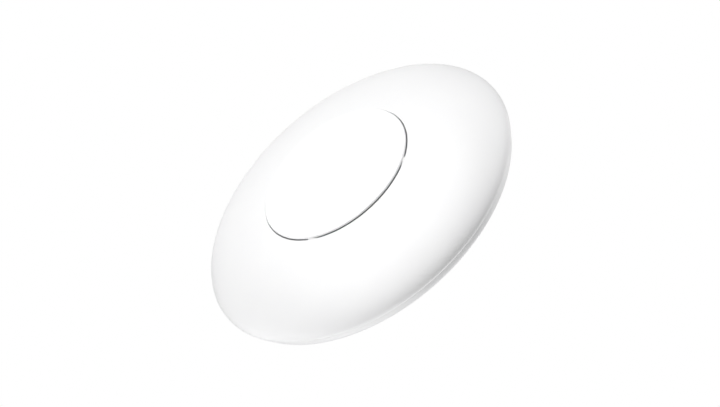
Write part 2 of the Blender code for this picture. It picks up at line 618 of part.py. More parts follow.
def make_support_cup(steel):
    corners = [(CUP_HOLE_RADIUS, CUP_TOP_Z), (CUP_RADIUS, CUP_TOP_Z, CUP_FILLET), (CUP_RADIUS, CUP_LOW_Z),
               (CUP_RADIUS - CUP_WALL, CUP_LOW_Z), (CUP_RADIUS - CUP_WALL, CUP_Z, CUP_FILLET - CUP_WALL),
               (CUP_HOLE_RADIUS, CUP_Z)]
    cup = turned("support_cup", rounded(corners), MID_STEPS, steel)
    cuts = bmesh.new()
    for angle in PIN_ANGLES:
        centre = (PIN_CIRCLE_RADIUS * math.cos(angle), 0)
        add_prism(cuts, circle(PIN_HOLE_RADIUS, SMALL_STEPS, centre),
                  CUP_Z - OVERSHOOT, CUP_TOP_Z + OVERSHOOT)
    vent_top = CUP_Z - CUP_FILLET - CUP_VENT_DROP
    for i in range(CUP_VENTS):
        middle = math.tau * (i + 0.5) / CUP_VENTS
        window = sector(CUP_RADIUS - CUP_WALL - OVERSHOOT, CUP_RADIUS + OVERSHOOT, middle,
                        CUP_VENT_WIDTH / CUP_RADIUS, 4)
        add_prism(cuts, window, vent_top - CUP_VENT_HEIGHT, vent_top)
    boolean(cup, cuts, "DIFFERENCE", "cup_holes")

    ring_z = CUP_TOP_Z + CLEARANCE
    ring = bmesh.new()
    outline = sector(NECK_RADIUS + CLEARANCE, RING_RADIUS, math.radians(90), math.tau - RING_MOUTH, 24)
    add_prism(ring, outline, 0, RING_THICKNESS)
    place("cup_retaining_ring", ring, steel, at=(0, 0, ring_z))


# The cover and its retainer


def make_cover_retainer(steel, joint):
    flange_top = RETAINER_FLANGE_Z + RETAINER_WALL
    corners = [(RETAINER_RADIUS, RETAINER_TOP_Z), (RETAINER_OUTER_RADIUS, RETAINER_TOP_Z),
               (RETAINER_OUTER_RADIUS, flange_top),
               (RETAINER_FLANGE_RADIUS, flange_top), (RETAINER_FLANGE_RADIUS, RETAINER_FLANGE_Z),
               (RETAINER_RADIUS, RETAINER_FLANGE_Z)]
    retainer = turned("cover_retainer", corners, MID_STEPS, steel, joint)
    leg = TAB_LEG_RADIUS
    top = flange_top - TAB_ROOT_STEP
    outline = [Vector(p) for p in [
        (leg, top), (leg - RETAINER_WALL, top), (leg - RETAINER_WALL, TAB_FOOT_Z),
        (TAB_END_RADIUS, TAB_FOOT_Z), (TAB_END_RADIUS, TAB_FOOT_Z + RETAINER_WALL),
        (leg, TAB_FOOT_Z + RETAINER_WALL)]]
    for i, angle in enumerate(TAB_ANGLES, 1):
        tab = radial_strip_mesh(outline, TAB_WIDTH)
        bmesh.ops.rotate(tab, cent=(0, 0, 0), matrix=Matrix.Rotation(angle, 3, "Z"), verts=tab.verts)
        boolean(retainer, tab, "UNION", f"retainer_tab_{i}")


def make_ejector_springs(steel, joint):
    """Leaf springs under the retainer's flange that throw the cover off."""
    root = RETAINER_FLANGE_Z - CLEARANCE - SPRING_THICKNESS
    tip = COVER_BACK_Z + CLEARANCE
    start = RETAINER_RADIUS + SPRING_THICKNESS
    reach = TAB_END_RADIUS - start
    path = [(start + reach * x, tip + (root - tip) * rise) for x, rise in SPRING_SHAPE]
    outline = thick_path(path, SPRING_THICKNESS)
    for i, angle in enumerate(SPRING_ANGLES, 1):
        place(f"ejector_spring_{i}", radial_strip_mesh(outline, SPRING_WIDTH), steel, joint, angle=angle)


def make_cover(white, solder, joint):
    corners = [(0, COVER_BACK_Z), (COVER_RADIUS, COVER_BACK_Z),
               (COVER_RADIUS, COVER_FACE_Z, COVER_EDGE_FILLET), (0, COVER_FACE_Z)]
    turned("cover_plate", rounded(corners), BIG_STEPS, white, joint, (0, 0, COVER_FACE_Z))
    middle = TAB_END_RADIUS - TAB_FOOT / 2
    for i, angle in enumerate(TAB_ANGLES, 1):
        outline = [(0, SOLDER_Z + SOLDER_THICKNESS), (SOLDER_RADIUS, SOLDER_Z + SOLDER_THICKNESS),
                   (SOLDER_RADIUS, SOLDER_Z), (0, SOLDER_Z)]
        turned(f"solder_joint_{i}", outline, SMALL_STEPS, solder, joint,
               (middle * math.cos(angle), middle * math.sin(angle), SOLDER_Z))


# The drop-down deflector


def make_deflector(brass, joint):
    plate = bmesh.new()
    add_prism(plate, circle(DEFLECTOR_RADIUS, MID_STEPS), 0, DEFLECTOR_THICKNESS)
    deflector = place("deflector", plate, brass, joint, (0, 0, DEFLECTOR_Z))
    cuts = bmesh.new()
    half = DEFLECTOR_SLOT_WIDTH / 2
    end = DEFLECTOR_RADIUS + OVERSHOOT
    slot = [(DEFLECTOR_HUB_RADIUS, -half), (end, -half), (end, half), (DEFLECTOR_HUB_RADIUS, half),
            (DEFLECTOR_HUB_RADIUS - half, 0)]
    for i in range(DEFLECTOR_TINES):
        turn = Matrix.Rotation(math.tau * (i + 0.5) / DEFLECTOR_TINES, 4, "Z")
        add_prism(cuts, slot, DEFLECTOR_Z - OVERSHOOT, DEFLECTOR_TOP_Z + OVERSHOOT, turn)
    for angle in PIN_ANGLES:
        centre = (PIN_CIRCLE_RADIUS * math.cos(angle), 0)
        hole = circle(PIN_TENON_RADIUS + CLEARANCE, SMALL_STEPS, centre)
        add_prism(cuts, hole, DEFLECTOR_Z - OVERSHOOT, DEFLECTOR_TOP_Z + OVERSHOOT)
    boolean(deflector, cuts, "DIFFERENCE", "deflector_slots")


def make_guide_pins(steel, joint):
    shoulder = DEFLECTOR_TOP_Z + CLEARANCE
    rivet_top = DEFLECTOR_Z - CLEARANCE
    rivet_z = rivet_top - PIN_RIVET_HEIGHT
    top = STOP_Z + STOP_HEIGHT + STOP_SHOULDER
    pin = [(0, top), (PIN_RADIUS - PIN_CHAMFER, top), (PIN_RADIUS, top - PIN_CHAMFER), (PIN_RADIUS, shoulder),
           (PIN_TENON_RADIUS, shoulder), (PIN_TENON_RADIUS, rivet_top), (PIN_RIVET_RADIUS, rivet_top),
           (PIN_RIVET_RADIUS, rivet_top - PIN_RIVET_HEIGHT / 2), (PIN_RADIUS, rivet_z), (0, rivet_z)]
    bore = PIN_RADIUS + CLEARANCE
    stop = [(STOP_RADIUS, STOP_Z + STOP_HEIGHT), (STOP_RADIUS, STOP_Z), (bore, STOP_Z),
            (bore, STOP_Z + STOP_HEIGHT)]
    for i, angle in enumerate(PIN_ANGLES, 1):
        x = PIN_CIRCLE_RADIUS * math.cos(angle)
        turned(f"guide_pin_{i}", pin, SMALL_STEPS, steel, joint, (x, 0, DEFLECTOR_Z))
        turned(f"pin_stop_{i}", stop, SMALL_STEPS, steel, joint, (x, 0, STOP_Z))


def main():
    clear_scene()
    white_plastic = make_material("white_plastic", (0.90, 0.90, 0.91), 0.38)
    white_paint = make_material("white_paint", (0.93, 0.93, 0.93), 0.30)
    rubber = make_material("rubber", (0.05, 0.05, 0.05), 0.8)
    zinc = make_material("zinc_steel", (0.62, 0.64, 0.66), 0.35, 1.0)
    spring = make_material("spring_steel", (0.55, 0.56, 0.58), 0.25, 1.0)
    brass = make_material("brass", (0.78, 0.60, 0.30), 0.3, 1.0)
    copper = make_material("copper_alloy", (0.80, 0.48, 0.32), 0.3, 1.0)
    nickel = make_material("nickel", (0.66, 0.62, 0.56), 0.25, 1.0)
    solder = make_material("solder", (0.55, 0.56, 0.58), 0.45, 1.0)
    glass = make_material("red_glass", (0.75, 0.05, 0.04), 0.05, 0.0, 0.9)

    shell_joint = make_joint("shell_pull", SHELL_RIM_Z)
    retainer_joint = make_joint("cover_adjust", RETAINER_FLANGE_Z)
    cover_joint = make_joint("cover_release", COVER_BACK_Z, retainer_joint)
    deflector_joint = make_joint("deflector_drop", DEFLECTOR_Z)

    make_domed_shell(white_plastic, shell_joint)
    make_base_ring(white_plastic)
    make_ceiling_gasket(rubber)
    make_ceiling_screws(zinc)
    make_shell_clips(spring)
    make_sprinkler_frame(brass)
    make_load_train(brass, glass, copper, nickel)
    make_support_cup(zinc)
    make_cover_retainer(zinc, retainer_joint)
    make_ejector_springs(spring, retainer_joint)
    make_cover(white_paint, solder, cover_joint)
    make_deflector(brass, deflector_joint)
    make_guide_pins(spring, deflector_joint)


main()
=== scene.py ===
"""Looks of a concealed pendent fire sprinkler head in a domed, surface-mount escutcheon.

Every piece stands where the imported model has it. Lengths are in millimetres until a mesh is made.
+Z points up, z = 0 is the ceiling, and the cover plate faces down.
"""

import json
import logging
import math
from collections.abc import Callable
from dataclasses import dataclass, field
from enum import Enum

import bmesh
import bpy
from mathutils import Matrix, Vector, noise
from mathutils.geometry import interpolate_bezier


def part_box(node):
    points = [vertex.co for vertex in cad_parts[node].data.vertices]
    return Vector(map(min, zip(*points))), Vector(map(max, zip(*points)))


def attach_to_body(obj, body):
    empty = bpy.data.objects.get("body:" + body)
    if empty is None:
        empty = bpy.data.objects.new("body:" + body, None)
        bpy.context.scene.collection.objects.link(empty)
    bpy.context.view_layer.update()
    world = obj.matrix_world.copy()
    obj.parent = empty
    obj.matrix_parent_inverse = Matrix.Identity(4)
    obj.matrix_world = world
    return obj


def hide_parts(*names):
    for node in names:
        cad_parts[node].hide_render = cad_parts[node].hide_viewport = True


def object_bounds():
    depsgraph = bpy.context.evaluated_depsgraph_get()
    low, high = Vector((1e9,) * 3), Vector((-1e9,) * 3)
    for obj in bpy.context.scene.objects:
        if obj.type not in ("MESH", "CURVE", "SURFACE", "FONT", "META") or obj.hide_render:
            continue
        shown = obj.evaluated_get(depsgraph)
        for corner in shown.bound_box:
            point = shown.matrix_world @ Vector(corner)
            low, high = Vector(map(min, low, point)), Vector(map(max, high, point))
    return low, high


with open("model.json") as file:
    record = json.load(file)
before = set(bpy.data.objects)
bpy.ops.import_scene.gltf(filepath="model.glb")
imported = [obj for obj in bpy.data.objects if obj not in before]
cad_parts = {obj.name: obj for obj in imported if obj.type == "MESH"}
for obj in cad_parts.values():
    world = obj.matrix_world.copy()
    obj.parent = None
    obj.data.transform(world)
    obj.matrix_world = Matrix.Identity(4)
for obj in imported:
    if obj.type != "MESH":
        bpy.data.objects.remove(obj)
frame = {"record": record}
CAD_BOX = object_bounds()

MM = 0.001
TINY = 1e-6
SLIVER = 0.0005  # edges shorter than this many millimetres are closed up
log = logging.getLogger("sprinkler")

Outline = list[Vector]
Pair = tuple[float, float]
Triple = tuple[float, float, float]
Warp = Callable[[float, float, float], float]


# Sizes from the frame


@dataclass(frozen=True)
class Room:
    """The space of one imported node, in millimetres.

    Attributes:
        low: its lowest corner.
        high: its highest corner.
    """

    low: Vector
    high: Vector

    @classmethod
    def of(cls, node: str) -> "Room":
        """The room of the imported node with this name."""
        low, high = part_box(node)
        return cls(low / MM, high / MM)

    @property
    def centre(self) -> Vector:
        """The middle of the room, in plan."""
        return Vector(((self.low.x + self.high.x) / 2, (self.low.y + self.high.y) / 2))

    @property
    def radius(self) -> float:
        """Half the room's width."""
        return (self.high.x - self.low.x) / 2

    @property
    def angle(self) -> float:
        """Direction of the room's middle from the sprinkler's axis."""
        return math.atan2(self.centre.y, self.centre.x)


def body_of(node: str) -> str:
    """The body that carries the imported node."""
    bodies = frame["record"]["behaviour"]["bodies"]
    return next(body for body, nodes in bodies.items() if node in nodes)


def pin_centres() -> list[Vector]:
    """The two guide pins' places in plan."""
    return [Room.of(f"guide_pin_{i}").centre for i in (1, 2)]


# Outlines


def filleted(corners: list[tuple[float, ...]], steps: int = 5) -> Outline:
    """Rounds the corners of a closed outline.

    Args:
        corners: (x, y) for a sharp corner, or (x, y, radius) for a rounded one.
        steps: points along each rounded corner, less one.
    Returns:
        The outline's points.
    """
    points = []
    for i, corner in enumerate(corners):
        here = Vector(corner[:2])
        if len(corner) == 2:
            points.append(here)
            continue
        back = (Vector(corners[i - 1][:2]) - here).normalized()
        ahead = (Vector(corners[(i + 1) % len(corners)][:2]) - here).normalized()
        half = back.angle(ahead) / 2
        centre = here + (back + ahead).normalized() * corner[2] / math.sin(half)
        first = here + back * corner[2] / math.tan(half) - centre
        last = here + ahead * corner[2] / math.tan(half) - centre
        turn = math.atan2(first.x * last.y - first.y * last.x, first.dot(last))
        for k in range(steps + 1):
            spoke = first.copy()
            spoke.rotate(Matrix.Rotation(turn * k / steps, 2))
            points.append(centre + spoke)
    return points


def stretch(start: Pair, end: Pair, spacing: float) -> list[Pair]:
    """Points along a straight run, no further apart than the spacing, with both ends.

    Args:
        start: one end.
        end: the other end.
        spacing: the most between two points.
    Returns:
        The points.
    """
    count = max(1, math.ceil(math.dist(start, end) / spacing))
    first, last = Vector(start), Vector(end)
    return [tuple(first.lerp(last, i / count)) for i in range(count + 1)]


def offset_curve(points: Outline, distance: float) -> Outline:
    """The open curve moved to its left by the distance.

    Args:
        points: the curve.
        distance: how far it moves; negative moves it to its right.
    Returns:
        The moved curve's points.
    """
    moved = []
    for i, point in enumerate(points):
        along = points[min(i + 1, len(points) - 1)] - points[max(i - 1, 0)]
        moved.append(point + Vector((-along.y, along.x)).normalized() * distance)
    return moved


def circle(radius: float, steps: int, centre: Vector = Vector((0, 0))) -> Outline:
    """Points round a circle."""
    return [centre + Vector((math.cos(math.tau * i / steps), math.sin(math.tau * i / steps))) * radius
            for i in range(steps)]


def polar(radius: float, angle: float) -> Vector:
    """The point at this radius and angle in plan."""
    return Vector((radius * math.cos(angle), radius * math.sin(angle)))


def bent_path(corners: list[tuple[float, ...]], steps: int = 5) -> Outline:
    """An open path with rounded bends, whose two ends are sharp corners."""
    return filleted([corners[0][:2], *corners[1:-1], corners[-1][:2]], steps)


# Meshes


@dataclass(frozen=True)
class Thread:
    """A helical groove cut into a turned surface.

    Attributes:
        pitch: height of one turn.
        depth: depth of the groove.
        low: height at which the thread starts.
        high: height at which it ends.
        runout: height over which it fades in and out.
        roundness: 0 for a sharp V, 1 for a rolled wave.
    """

    pitch: float
    depth: float
    low: float
    high: float
    runout: float = 1.0
    roundness: float = 0.0

    def warp(self, radius: float, height: float, angle: float) -> float:
        """The surface's radius at this height and angle, after the groove is cut.

        Args:
            radius: the surface's radius before it is cut.
            height: the point's height.
            angle: its direction from the axis.
        Returns:
            The radius.
        """
        fade = min((height - self.low) / self.runout, (self.high - height) / self.runout, 1.0)
        if fade <= 0:
            return radius
        phase = (height / self.pitch - angle / math.tau) % 1
        sharp = abs(2 * phase - 1)
        wave = (1 + math.cos(math.tau * phase)) / 2
        crest = min(1.0, (sharp + (wave - sharp) * self.roundness) * 1.15)
        return radius - self.depth * (1 - crest) * fade


def lathe(outline: Outline, steps: int, warp: Warp | None = None,
          at: Vector = Vector((0, 0))) -> bmesh.types.BMesh:
    """Turns an outline about an upright axis.

    Args:
        outline: (radius, height) points, closed, or with both ends on the axis.
        steps: columns round the axis.
        warp: gives each point's final radius from its radius, height and angle.
        at: where the axis stands in plan.
    Returns:
        One closed mesh.
    """
    mesh = bmesh.new()
    rings = []
    for radius, height in outline:
        if radius < TINY:
            rings.append([mesh.verts.new((at.x, at.y, height))])
            continue
        ring = []
        for i in range(steps):
            angle = math.tau * i / steps
            place = at + polar(warp(radius, height, angle) if warp else radius, angle)
            ring.append(mesh.verts.new((place.x, place.y, height)))
        rings.append(ring)
    spans = list(zip(rings, rings[1:]))
    if len(rings[0]) > 1:
        spans.append((rings[-1], rings[0]))
    for low, high in spans:
        for i in range(steps):
            corners = [low[i % len(low)], low[(i + 1) % steps % len(low)],
                       high[(i + 1) % steps % len(high)], high[i % len(high)]]
            mesh.faces.new(dict.fromkeys(corners))
    bmesh.ops.recalc_face_normals(mesh, faces=mesh.faces)
    return mesh


def prism(outline: Outline, low: float, high: float, top_scale: float = 1.0,
          place: Matrix | None = None) -> bmesh.types.BMesh:
    """Extrudes a flat outline along Z.

    Args:
        outline: its points in plan.
        low: height of its lower face.
        high: height of its upper face.
        top_scale: size of the upper face over that of the lower one.
        place: moves the finished mesh.
    Returns:
        One closed mesh.
    """
    mesh = bmesh.new()
    lower = [mesh.verts.new((point[0], point[1], low)) for point in outline]
    upper = [mesh.verts.new((point[0] * top_scale, point[1] * top_scale, high)) for point in outline]
    mesh.faces.new(lower)
    mesh.faces.new(upper)
    for i in range(len(outline)):
        j = (i + 1) % len(outline)
        mesh.faces.new((lower[i], lower[j], upper[j], upper[i]))
    if place:
        bmesh.ops.transform(mesh, matrix=place, verts=mesh.verts)
    bmesh.ops.recalc_face_normals(mesh, faces=mesh.faces)
    return mesh


def strip(path: Outline, width: float, thickness: float, angle: float) -> bmesh.types.BMesh:
    """A bent metal strip that stands radially.

    Args:
        path: (radius, height) points along one face.
        width: the strip's width, across the radius.
        thickness: how thick it is, to the left of the path.
        angle: the strip's direction from the axis.
    Returns:
        One closed mesh.
    """
    outline = path + list(reversed(offset_curve(path, thickness)))
    upright = Matrix.Rotation(angle, 4, "Z") @ Matrix.Rotation(math.radians(90), 4, "X")
    return prism(outline, -width / 2, width / 2, place=upright)


def sweep(path: list[Vector], halves: list[Vector], sides: int, squareness: float) -> bmesh.types.BMesh:
    """A bar with a rounded rectangular section along a path in the YZ plane.

    Args:
        path: the bar's middle line, as (0, y, z) points.
        halves: the section's half-width along X and half-thickness, for each point.
        sides: points round the section.
        squareness: 1 for an ellipse, and less for squarer sides.
    Returns:
        One closed mesh.
    """
    mesh = bmesh.new()
    rings = []
    for i, (point, half) in enumerate(zip(path, halves)):
        along = (path[min(i + 1, len(path) - 1)] - path[max(i - 1, 0)]).normalized()
        across = Vector((1, 0, 0)).cross(along)
        ring = []
        for k in range(sides):
            c, s = math.cos(math.tau * k / sides), math.sin(math.tau * k / sides)
            wide = math.copysign(abs(c) ** squareness, c) * half.x
            thick = math.copysign(abs(s) ** squareness, s) * half.y
            ring.append(mesh.verts.new(point + Vector((wide, 0, 0)) + across * thick))
        rings.append(ring)
    for low, high in zip(rings, rings[1:]):
        for k in range(sides):
            j = (k + 1) % sides
            mesh.faces.new((low[k], low[j], high[j], high[k]))
    mesh.faces.new(rings[0])
    mesh.faces.new(rings[-1])
    bmesh.ops.recalc_face_normals(mesh, faces=mesh.faces)
    return mesh


class Operation(Enum):
    """What is done to a piece with a second mesh."""

    JOIN = "UNION"
    CUT = "DIFFERENCE"


def to_object(name: str, mesh: bmesh.types.BMesh) -> bpy.types.Object:
    """Puts a mesh in millimetres into the scene as an object in metres, and frees it.

    Args:
        name: the object's name.
        mesh: what it is made of.
    Returns:
        The object.
    """
    data = bpy.data.meshes.new(name)
    mesh.to_mesh(data)
    mesh.free()
    data.transform(Matrix.Scale(MM, 4))
    piece = bpy.data.objects.new(name, data)
    bpy.context.scene.collection.objects.link(piece)
    return piece


def apply_modifiers(piece: bpy.types.Object) -> None:
    """Makes the piece's modified shape its own mesh.

    Args:
        piece: the object.
    """
    shaped = piece.evaluated_get(bpy.context.evaluated_depsgraph_get())
    data = bpy.data.meshes.new_from_object(shaped)
    data.name = piece.name
    piece.modifiers.clear()
    piece.data = data


def clean(piece: bpy.types.Object) -> None:
    """Closes up the slivers that an operation leaves, then drops the fins and fills the gaps left by them.

    Args:
        piece: the object that was worked.
    """
    mesh = bmesh.new()
    mesh.from_mesh(piece.data)
    bmesh.ops.remove_doubles(mesh, verts=mesh.verts, dist=SLIVER * MM)
    bmesh.ops.dissolve_degenerate(mesh, edges=mesh.edges, dist=SLIVER * MM)
    fins = [face for face in mesh.faces if any(edge.is_boundary for edge in face.edges)
            and any(len(edge.link_faces) > 2 for edge in face.edges)]
    bmesh.ops.delete(mesh, geom=fins, context="FACES")
    bmesh.ops.holes_fill(mesh, edges=[edge for edge in mesh.edges if edge.is_boundary], sides=6)
    mesh.to_mesh(piece.data)
    mesh.free()


def work(piece: bpy.types.Object, operation: Operation, *meshes: bmesh.types.BMesh,
         material_index: int = 0) -> None:
    """Cuts meshes from a piece, or joins them on.

    Args:
        piece: the object that is worked.
        operation: what is done.
        meshes: the tools' meshes, which are used up.
        material_index: the piece's material that the worked faces take.
    """
    tools = []
    for mesh in meshes:
        for face in mesh.faces:
            face.material_index = material_index
        tool = to_object("tool", mesh)
        modifier = piece.modifiers.new("work", "BOOLEAN")
        modifier.operation = operation.value
        modifier.object = tool
        tools.append(tool)
    apply_modifiers(piece)
    for tool in tools:
        bpy.data.objects.remove(tool)
    clean(piece)


def break_edges(piece: bpy.types.Object, width: float, segments: int = 2, angle: float = 40) -> None:
    """Rounds every edge of a piece that is sharper than the angle in degrees.

    Args:
        piece: the object that is worked.
        width: the rounding's width, in millimetres.
        segments: faces across it.
        angle: edges blunter than this stay as they are.
    """
    modifier = piece.modifiers.new("edges", "BEVEL")
    modifier.width = width * MM
    modifier.segments = segments
    modifier.limit_method = "ANGLE"
    modifier.angle_limit = math.radians(angle)
    modifier.harden_normals = False
    apply_modifiers(piece)


# Finishes


def linear(hexadecimal: str) -> tuple[float, float, float, float]:
    """A colour written as sRGB hex, in the renderer's linear values, with alpha 1.

    Args:
        hexadecimal: the colour, as #RRGGBB.
    Returns:
        Red, green, blue and an alpha of 1.
    """
    shares = [int(hexadecimal[i:i + 2], 16) / 255 for i in (1, 3, 5)]
    red, green, blue = (s / 12.92 if s <= 0.04045 else ((s + 0.055) / 1.055) ** 2.4 for s in shares)
    return red, green, blue, 1.0


def per_size(millimetres: float) -> float:
    """Scale of a pattern whose features are this many millimetres apart."""
    return 1 / (millimetres * MM)


def add_node(tree: bpy.types.NodeTree, kind: str, settings: dict[str, object] | None = None,
             links: dict[str | int, bpy.types.NodeSocket] | None = None) -> bpy.types.Node:
    """Adds one node to a tree.

    Args:
        tree: the node tree.
        kind: the node's type name, without its ShaderNode prefix.
        settings: values by the name of a property or of an input.
        links: the sockets that feed it, by the input's name or number.
    Returns:
        The node.
    """
    node = tree.nodes.new("ShaderNode" + kind)
    for name, value in (settings or {}).items():
        if hasattr(node, name):
            setattr(node, name, value)
        else:
            node.inputs[name].default_value = value
    for name, socket in (links or {}).items():
        tree.links.new(socket, node.inputs[name])
    return node


@dataclass(frozen=True)
class Finish:
    """A material and how its surface was made.

    Attributes:
        name: the maker's name for it.
        slot: the record's material slot; not used.
        colour: the main colour, as sRGB hex.
        shade: the colour that it varies towards.
        roughness: how rough it is where it is smoothest.
        rougher: how rough it is elsewhere.
        metallic: 1 for a bare metal.
        ior: refraction of what isn't a metal.
    """

    name: str
    slot: str
    colour: str
    shade: str
    roughness: float
    rougher: float
    metallic: float = 0.0
    ior: float = 1.5

    def material(self) -> bpy.types.Material:
        """The Blender material, which is made once.

        Returns:
            The material.
        """
        made = bpy.data.materials.get(self.name)
        if made:
            return made
        made = bpy.data.materials.new(self.name)
        made.use_nodes = True
        made.diffuse_color = linear(self.colour)
        tree = made.node_tree
        shader = tree.nodes["Principled BSDF"]
        shader.inputs["Metallic"].default_value = self.metallic
        if not self.metallic:
            shader.inputs["IOR"].default_value = self.ior
        place = add_node(tree, "TexCoord").outputs["Object"]
        self.dress(tree, shader, place)
        return made

    def tint(self, tree: bpy.types.NodeTree, shader: bpy.types.Node, amount: bpy.types.NodeSocket) -> None:
        """Varies the colour and the roughness together.

        Args:
            tree: the material's node tree.
            shader: its Principled shader.
            amount: 0 for the main colour, 1 for the shade.
        """
        mixed = add_node(tree, "Mix", {"data_type": "RGBA"}, {"Factor": amount})
        mixed.inputs[6].default_value = linear(self.colour)
        mixed.inputs[7].default_value = linear(self.shade)
        rough = add_node(tree, "MapRange", {"To Min": self.roughness, "To Max": self.rougher},
                         {"Value": amount})
        tree.links.new(mixed.outputs[2], shader.inputs["Base Color"])
        tree.links.new(rough.outputs[0], shader.inputs["Roughness"])

    def dress(self, tree: bpy.types.NodeTree, shader: bpy.types.Node, place: bpy.types.NodeSocket) -> None:
        """Adds the finish's own nodes.

        Args:
            tree: the material's node tree.
            shader: its Principled shader.
            place: the point on the surface, in metres.
        """
        raise NotImplementedError


@dataclass(frozen=True)
class MouldedPlastic(Finish):
    """Flame-retardant ABS from a spark-eroded mould: an even white with a fine satin grain.

    Attributes:
        grain: spacing of the mould's spark grain, drawn coarser than the real 0.05 mm so that it shows.
        flow: length of the faint clouds left where the melt flowed.
    """

    grain: float = 0.35
    flow: float = 30.0

    def dress(self, tree: bpy.types.NodeTree, shader: bpy.types.Node, place: bpy.types.NodeSocket) -> None:
        """Adds flow clouds, the spark grain and a slow moulding sink.

        Args:
            tree: the material's node tree.
            shader: its Principled shader.
            place: the point on the surface, in metres.
        """
        clouds = add_node(tree, "TexNoise", {"Scale": per_size(self.flow), "Detail": 3.0}, {"Vector": place})
        self.tint(tree, shader, clouds.outputs["Fac"])
        grain = add_node(tree, "TexNoise", {"Scale": per_size(self.grain), "Detail": 4.0, "Roughness": 0.6},
                         {"Vector": place})
        sink = add_node(tree, "TexNoise", {"Scale": per_size(self.flow / 2), "Detail": 1.0},
                        {"Vector": place})
        slow = add_node(tree, "Bump", {"Strength": 0.1, "Distance": 0.1 * MM},
                        {"Height": sink.outputs["Fac"]})
        fine = add_node(tree, "Bump", {"Strength": 0.08, "Distance": 0.01 * MM},
                        {"Height": grain.outputs["Fac"], "Normal": slow.outputs[0]})
        tree.links.new(fine.outputs[0], shader.inputs["Normal"])


@dataclass(frozen=True)
class PowderCoat(Finish):
    """Satin polyester powder on steel: white, with a soft orange peel and a clear top skin.

    Attributes:
        peel: spacing of the orange peel's bumps.
        speck: spacing of the pigment's specks, drawn coarser than the real 0.04 mm.
    """

    peel: float = 1.6
    speck: float = 0.5

    def dress(self, tree: bpy.types.NodeTree, shader: bpy.types.Node, place: bpy.types.NodeSocket) -> None:
        """Adds pigment specks, the orange peel and the skin's gloss.

        Args:
            tree: the material's node tree.
            shader: its Principled shader.
            place: the point on the surface, in metres.
        """
        shader.inputs["Coat Weight"].default_value = 0.15
        shader.inputs["Coat Roughness"].default_value = 0.18
        specks = add_node(tree, "TexNoise", {"Scale": per_size(self.speck), "Detail": 2.0}, {"Vector": place})
        self.tint(tree, shader, specks.outputs["Fac"])
        peel = add_node(tree, "TexNoise", {"Scale": per_size(self.peel), "Detail": 1.5, "Roughness": 0.4},
                        {"Vector": place})
        skin = add_node(tree, "Bump", {"Strength": 0.12, "Distance": 0.02 * MM},
                        {"Height": peel.outputs["Fac"]})
        tree.links.new(skin.outputs[0], shader.inputs["Normal"])
        tree.links.new(skin.outputs[0], shader.inputs["Coat Normal"])


@dataclass(frozen=True)
class MouldedRubber(Finish):
    """Compression-moulded EPDM: near-black and matt, with a dusty bloom in its low spots.

    Attributes:
        bloom: size of the patches of bloom.
        pore: spacing of the skin's pores.
    """

    bloom: float = 3.0
    pore: float = 0.5

    def dress(self, tree: bpy.types.NodeTree, shader: bpy.types.Node, place: bpy.types.NodeSocket) -> None:
        """Adds the bloom and the pores.

        Args:
            tree: the material's node tree.
            shader: its Principled shader.
            place: the point on the surface, in metres.
        """
        bloom = add_node(tree, "TexNoise", {"Scale": per_size(self.bloom), "Detail": 5.0}, {"Vector": place})
        patches = add_node(tree, "MapRange", {"From Min": 0.4, "From Max": 0.75},
                           {"Value": bloom.outputs["Fac"]})
        self.tint(tree, shader, patches.outputs[0])
        pores = add_node(tree, "TexVoronoi", {"Scale": per_size(self.pore)}, {"Vector": place})
        skin = add_node(tree, "Bump", {"Strength": 0.3, "Distance": 0.03 * MM},
                        {"Height": pores.outputs["Distance"]})
        tree.links.new(skin.outputs[0], shader.inputs["Normal"])


class Lay(Enum):
    """The way that the marks run on a worked metal: how far they stretch along X, Y and Z."""

    DRAWN = (1.0, 1.0, 0.06)
    ROLLED = (0.05, 1.0, 1.0)
    TURNED = (1.0, 0.0, 0.35)


